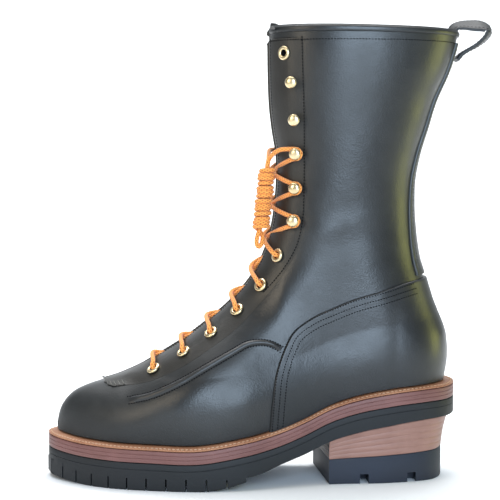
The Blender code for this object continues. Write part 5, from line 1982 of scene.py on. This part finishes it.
@dataclass
class Lacing:
    """Lace through the eyelets and round the hooks, and its wound-up ends."""

    bench: Bench
    leather: Leather
    holders: Holders
    radius: float = 1.65
    inside: float = 4.2
    laced: int = 6
    hank_top: tuple[float, float, float] = (12.6, -17.0, 229.0)
    hank_low: tuple[float, float, float] = (7.4, -18.5, 182.5)
    coil: float = 5.0
    wraps: float = 13.5
    bight: Rows = (
        (4.0, 0.0, -1.2), (-3.0, 1.6, 0.4), (-9.5, 2.0, 0.6), (-12.7, 0.1, 0.5), (-9.5, -1.8, 0.2),
        (-3.5, -2.0, -2.2), (0.8, 1.8, -4.5),
    )
    nodes: tuple[str, ...] = tuple(f"lace_{k}" for k in range(1, 9))

    def ridge(self, z: float) -> tuple[Array, Array]:
        """Point and outward direction of the throat's middle line at a height.

        Args:
            z: the height.

        Returns:
            The point and the direction.
        """
        form = self.bench.upper
        level = float(np.interp(z, form.fine_z, form.fine_level))
        x, a, b = float(form.front_x(level)), level - 0.05, level + 0.05
        along = np.array((form.front_x(b) - form.front_x(a), 0.0, form.front_z(b) - form.front_z(a)), float)
        out = np.array((-along[2], 0.0, along[0]))
        return np.array((x, float(form.middle_y(x)), z)), out / np.linalg.norm(out)

    def edge(self, z: float, side: int, off: float, height: float) -> Array:
        """Point near the throat's edge, off outwards from it and height above the skin.

        Args:
            z: height of the edge.
            side: side of the boot.
            off: distance from the edge.
            height: distance from the skin.

        Returns:
            The point.
        """
        form = self.bench.upper
        level = float(np.interp(z, form.fine_z, form.fine_level))
        share = form.throat_share(max(level, form.throat_level + 0.05), side, off)
        return form.off(form.place(level, np.array([share]), side)[0], side, height)

    def holder(self, k: int, side: int) -> tuple[Array, Array]:
        """Place on the skin and direction of the k-th holder of a side, eyelets first."""
        more = k - self.laced
        return self.leather.holes[side][k] if more < 0 else self.holders.hook_frame(more, side)

    def out_of(self, k: int, side: int) -> list[Array]:
        """Points up through an eyelet and over its rim towards the throat.

        Args:
            k: number of the eyelet, from below.
            side: side of the boot.

        Returns:
            The points in order.
        """
        base, out = self.holder(k, side)
        tip = self.ridge(base[2] + 12.0)[0] - base
        tip = tip - out * tip.dot(out)
        tip /= np.linalg.norm(tip)
        low = base - out * self.inside
        return [low, base + out * 1.2, base + out * 4.2 + tip * 1.2, base + out * 5.0 + tip * 4.8]

    def strand(self, first: int) -> Array:
        """Path of one half of the lace, from the lowest eyelet of a side to the top hook in use.

        Args:
            first: side where it starts.

        Returns:
            Points along the path.
        """
        points: list[Array] = []
        side = first
        for k in range(len(self.nodes)):
            if k < self.laced:
                points += self.out_of(k, side)
            base, _ = self.holder(k, side)
            other, _ = self.holder(k + 1, -side)
            z = (base[2] + other[2]) / 2
            middle, up = self.ridge(z)
            tall = 4.6 if (first < 0) == (k % 2 == 0) else 1.4
            points.append(middle + up * tall)
            if k < self.laced - 1:
                points.append(self.edge(other[2] - 4.0, -side, -0.8, 0.6))
                points.append(self.edge(other[2] - 1.5, -side, 3.0, -self.inside))
            else:
                points += self.round_hook(k + 1, -side)
            side = -side
        return spline(points, 9)

    def round_hook(self, k: int, side: int) -> list[Array]:
        """Points round the far side of a hook's neck.

        Args:
            k: number of the holder, from below.
            side: side of the boot.

        Returns:
            The points in order.
        """
        base, out = self.holder(k, side)
        up = np.array((0.0, 0.0, 1.0))
        up = up - out * up.dot(out)
        up /= np.linalg.norm(up)
        far = np.cross(out, up) * side
        if far[0] < 0:
            far = -far
        neck = base + out * (self.holders.low + 3.0)
        ring = 1.5 + 0.25 + self.radius
        return [
            neck - up * 3.6 - far * 2.6, neck - up * 2.9 + far * 1.6, neck + far * ring,
            neck + up * 2.9 + far * 1.6, neck + up * 3.6 - far * 2.6,
        ]

    def build(self) -> None:
        """Build the threaded lace and the hank."""
        shop, paint = self.bench.shop, self.bench.paint["lace"]
        halves = [self.strand(side) for side in (-1, 1)]
        meshes = [tube_mesh("lace", path, self.radius) for path in halves]
        low, high = (self.leather.holes[s][0][0] - self.leather.holes[s][0][1] * self.inside for s in (-1, 1))
        bar = spline([low, (low + high) / 2 - self.ridge(81.5)[1] * 3.0, high], 12)
        meshes.append(tube_mesh("bar", bar, self.radius))
        mesh = joined("lace_threaded", meshes, 70.0)
        shop.add("lace_threaded", mesh, paint, Slot.LACE, self.nodes)
        self.hank(halves)

    def hank(self, halves: Sequence[Array]) -> None:
        """Two loose ends: one down the middle and wound round itself, the other beside it.

        Args:
            halves: the paths of the two halves.
        """
        shop, paint = self.bench.shop, self.bench.paint["lace"]
        top, low = np.array(self.hank_top), np.array(self.hank_low)
        axis = (top - low) / np.linalg.norm(top - low)
        side = np.cross(axis, (0.0, 1.0, 0.0))
        side /= np.linalg.norm(side)
        over = np.cross(axis, side)
        tall = np.linalg.norm(top - low)
        turns = np.linspace(0.0, 1.0, int(self.wraps * 22))
        angle = 2 * math.pi * self.wraps * turns
        ring = np.outer(np.cos(angle), side) + np.outer(np.sin(angle), over)
        loose = 1 + 0.07 * np.sin(angle * 0.37) + 0.04 * np.sin(angle * 0.83 + 1.0)
        along = turns * (tall - 4.0) + 0.5 * np.sin(angle * 0.29 + 0.6)
        wound = low + axis * 2.0 + np.outer(along, axis) + ring * (self.coil * loose)[:, None]
        for name, path, core in (("lace_end_a", halves[0], -1.2), ("lace_end_b", halves[1], 1.2)):
            start = path[-1]
            middle = top + axis * 4.0 + over * core
            if core < 0:
                way = [start * 0.55 + middle * 0.45 + np.array((-2.0, -1.0, 3.0))]
            else:
                ridge, up = self.ridge(start[2] - 2.0)
                way = [self.edge(start[2] + 0.5, 1, 2.0, 5.0), ridge + up * 5.5]
            lead = [start, *way, middle, top - axis * 3.0 + over * core]
            if core < 0:
                lead += [low + axis * up + side * left + over * near for up, left, near in self.bight]
                lead.append(wound[0])
                line = np.concatenate([spline(lead, 14)[:-1], wound])
            else:
                lead += [low + axis * 4.0 + over * core]
                line = spline(lead, 14)
            line = self.ease(line)
            nodes = ["lace_hank"] if core < 0 else []
            thing = shop.add(name, tube_mesh(name, line, self.radius), paint, Slot.LACE, nodes)

    @staticmethod
    def ease(line: Array) -> Array:
        """The line with its corners smoothed and its points evened out.

        Args:
            line: points of the line.

        Returns:
            The new points.
        """
        count = int(np.linalg.norm(np.diff(line, axis=0), axis=1).sum() / 1.1)
        line = resample(line, count)
        for _ in range(4):
            line[1:-1] = (line[:-2] + 2 * line[1:-1] + line[2:]) / 4
        return line


@dataclass
class Studio:
    """Floor, lights, world and camera."""

    distance: float = 1.0720
    camera_x: float = -0.05941
    camera_z: float = 0.2330
    pitch: float = 0.0612
    yaw: float = -0.0406
    roll: float = 0.0003
    lens: float = 104.94
    lights: tuple[tuple, ...] = (
        ("front", (0.25, -2.2, 0.74), (0.05, 0.0, 0.2), (1.1, 1.4), 47.0, (0.64, 0.81, 1.0)),
        ("toe", (-1.2, -0.9, 0.7), (-0.1, 0.0, 0.06), (0.5, 0.8), 6.5, (1.0, 0.86, 0.66)),
        ("rim", (1.3, -0.02, 0.16), (0.1, 0.0, 0.14), (0.5, 0.55), 3.6, (0.98, 1.0, 0.24)),
        ("top", (0.0, 0.5, 2.2), (0.0, 0.2, 0.0), (2.0, 2.0), 52.0, (1.0, 1.0, 1.0)),
        ("wall", (0.0, 1.0, 2.2), (0.0, 3.4, 0.6), (2.0, 2.0), 110.0, (1.0, 1.0, 1.0)),
    )

    def build(self) -> None:
        """Set the stage."""
        scene = bpy.context.scene
        self.backdrop()
        self.world(scene)
        for row in self.lights:
            self.light(*row)
        data = bpy.data.cameras.new("camera")
        data.lens, data.sensor_width = self.lens, 36.0
        camera = bpy.data.objects.new("camera", data)
        camera.location = (self.camera_x, -self.distance, self.camera_z)
        camera.rotation_euler = (math.pi / 2 - self.pitch, self.roll, self.yaw)
        scene.collection.objects.link(camera)
        scene.camera = camera
        scene.view_settings.view_transform = "Standard"

    @staticmethod
    def backdrop() -> None:
        """Pale floor that curves up into a wall behind the boot."""
        bend = [(3.0 * math.sin(a) + 1.5, 3.0 - 3.0 * math.cos(a)) for a in np.linspace(0.0, math.pi / 2, 24)]
        line = [(-6.0, 0.0), (0.0, 0.0), *bend, (4.5, 7.0)]
        points = [(x, y, z) for x in (-7.0, 7.0) for y, z in line]
        count = len(line)
        faces = [(k, count + k, count + k + 1, k + 1) for k in range(count - 1)]
        mesh = bpy.data.meshes.new("backdrop")
        mesh.from_pydata(points, [], faces)
        mesh.shade_smooth()
        made = bpy.data.materials.new("backdrop")
        made.use_nodes = True
        shader = made.node_tree.nodes["Principled BSDF"]
        shader.inputs["Base Color"].default_value = (0.86, 0.88, 0.9, 1.0)
        shader.inputs["Roughness"].default_value = 0.95
        mesh.materials.append(made)
        thing = bpy.data.objects.new("backdrop", mesh)
        bpy.context.scene.collection.objects.link(thing)

    @staticmethod
    def world(scene: Scene) -> None:
        """Even soft surroundings.

        Args:
            scene: the scene that they light.
        """
        world = bpy.data.worlds.new("soft")
        world.use_nodes = True
        world.node_tree.nodes["Background"].inputs["Color"].default_value = (0.93, 0.97, 1.0, 1.0)
        world.node_tree.nodes["Background"].inputs["Strength"].default_value = 0.32
        scene.world = world

    @staticmethod
    def light(
        name: str, place: Sequence[float], target: Sequence[float], size: Sequence[float], power: float,
        colour: Sequence[float],
    ) -> None:
        """Soft light that faces a target.

        Args:
            name: name of the light.
            place: where it stands.
            target: point that it faces.
            size: its width and height.
            power: its power in watts.
            colour: its linear colour.
        """
        data = bpy.data.lights.new(name, "AREA")
        data.shape = "RECTANGLE"
        data.size, data.size_y = size
        data.energy, data.color = power, colour
        lamp = bpy.data.objects.new(name, data)
        lamp.location = place
        lamp.rotation_euler = (Vector(target) - Vector(place)).to_track_quat("-Z", "Y").to_euler()
        bpy.context.scene.collection.objects.link(lamp)


FINISHES = (
    ("shaft", Finish(
        "leather_shaft", (0.007, 0.0085, 0.0095), (0.013, 0.0145, 0.015), 0.34, 0.16, coat=0.25,
        depth=0.42, fade=(0.030, 0.062),
    )),
    ("vamp", Finish(
        "leather_vamp", (0.007, 0.008, 0.009), (0.012, 0.013, 0.014), 0.34, 0.16, coat=0.25,
        depth=0.42,
    )),
    ("eyestay", Finish(
        "leather_eyestay", (0.010, 0.009, 0.007), (0.017, 0.015, 0.012), 0.40, 0.14, coat=0.2,
        depth=0.42,
    )),
    ("counter", Finish(
        "leather_counter", (0.007, 0.0085, 0.0105), (0.012, 0.014, 0.016), 0.34, 0.16, coat=0.25,
        depth=0.42, fade=(0.052, 0.096),
    )),
    ("tongue", Finish("leather_tongue", (0.010, 0.010, 0.011), (0.014, 0.014, 0.014), 0.48, depth=0.3)),
    ("loop", Finish("leather_loop", (0.012, 0.013, 0.015), (0.020, 0.021, 0.022), 0.46, depth=0.6)),
    ("rubber", Finish(
        "rubber_sole", (0.006, 0.008, 0.010), (0.010, 0.012, 0.015), 0.6, specular=0.4, scale=1500.0,
        depth=0.15,
    )),
    ("lift", Finish(
        "rubber_lift", (0.006, 0.010, 0.022), (0.010, 0.016, 0.032), 0.6, scale=1500.0, depth=0.15,
    )),
    ("midsole", Finish(
        "leather_midsole", (0.115, 0.042, 0.036), (0.19, 0.083, 0.075), 0.5, texture=Texture.STRATA,
        scale=420.0, depth=0.4,
    )),
    ("welt", Finish(
        "leather_welt", (0.28, 0.115, 0.055), (0.38, 0.18, 0.095), 0.55, scale=700.0, depth=0.2,
    )),
    ("stack", Finish(
        "leather_stack", (0.18, 0.083, 0.064), (0.31, 0.165, 0.13), 0.45, texture=Texture.STRATA,
        scale=380.0, depth=0.4,
    )),
    ("breast", Finish("leather_breast", (0.020, 0.018, 0.020), (0.030, 0.026, 0.028), 0.5, depth=0.2)),
    ("board", Finish("leather_board", (0.25, 0.17, 0.11), (0.30, 0.21, 0.14), 0.7, depth=0.2)),
    ("brass", Finish(
        "brass", (0.78, 0.62, 0.36), (0.86, 0.72, 0.46), 0.24, 0.08, metal=1.0, scale=300.0,
        depth=0.05,
    )),
    # The dark red first colour is painted shade in the braid's grooves; the orange second colour lies on the
    # raised strands.
    ("lace", Finish(
        "cord_lace", (0.36, 0.045, 0.012), (0.98, 0.40, 0.075), 0.75, sheen=0.2, texture=Texture.WEAVE,
    )),
    ("thread_pale", Finish("thread_pale", (0.45, 0.26, 0.15), (0.60, 0.40, 0.27), 0.7, depth=0.1)),
    ("thread_dark", Finish(
        "thread_dark", (0.003, 0.003, 0.004), (0.006, 0.006, 0.007), 0.8, specular=0.12, depth=0.1,
    )),
    ("thread_grey", Finish("thread_grey", (0.10, 0.10, 0.09), (0.14, 0.14, 0.12), 0.6, depth=0.1)),
)


def main() -> None:
    """Dress the boot and set the stage."""
    logging.basicConfig(level=logging.INFO, format="%(name)s %(message)s")
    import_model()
    groups = ShaderGroups()
    sole = SoleForm()
    paint = {name: finish.build(groups) for name, finish in FINISHES}
    bench = Bench(Workshop(), GeometryTools(), sole, UpperForm(sole), paint)
    Bottom(bench).build()
    Heel(bench).build()
    leather = Leather(bench)
    leather.build()
    PullLoop(bench).build()
    holders = Holders(bench, leather)
    holders.build()
    Lacing(bench, leather, holders).build()
    Studio().build()
    LOG.info("%d triangles in all", bench.shop.triangles)


if __name__ == "__main__":
    main()
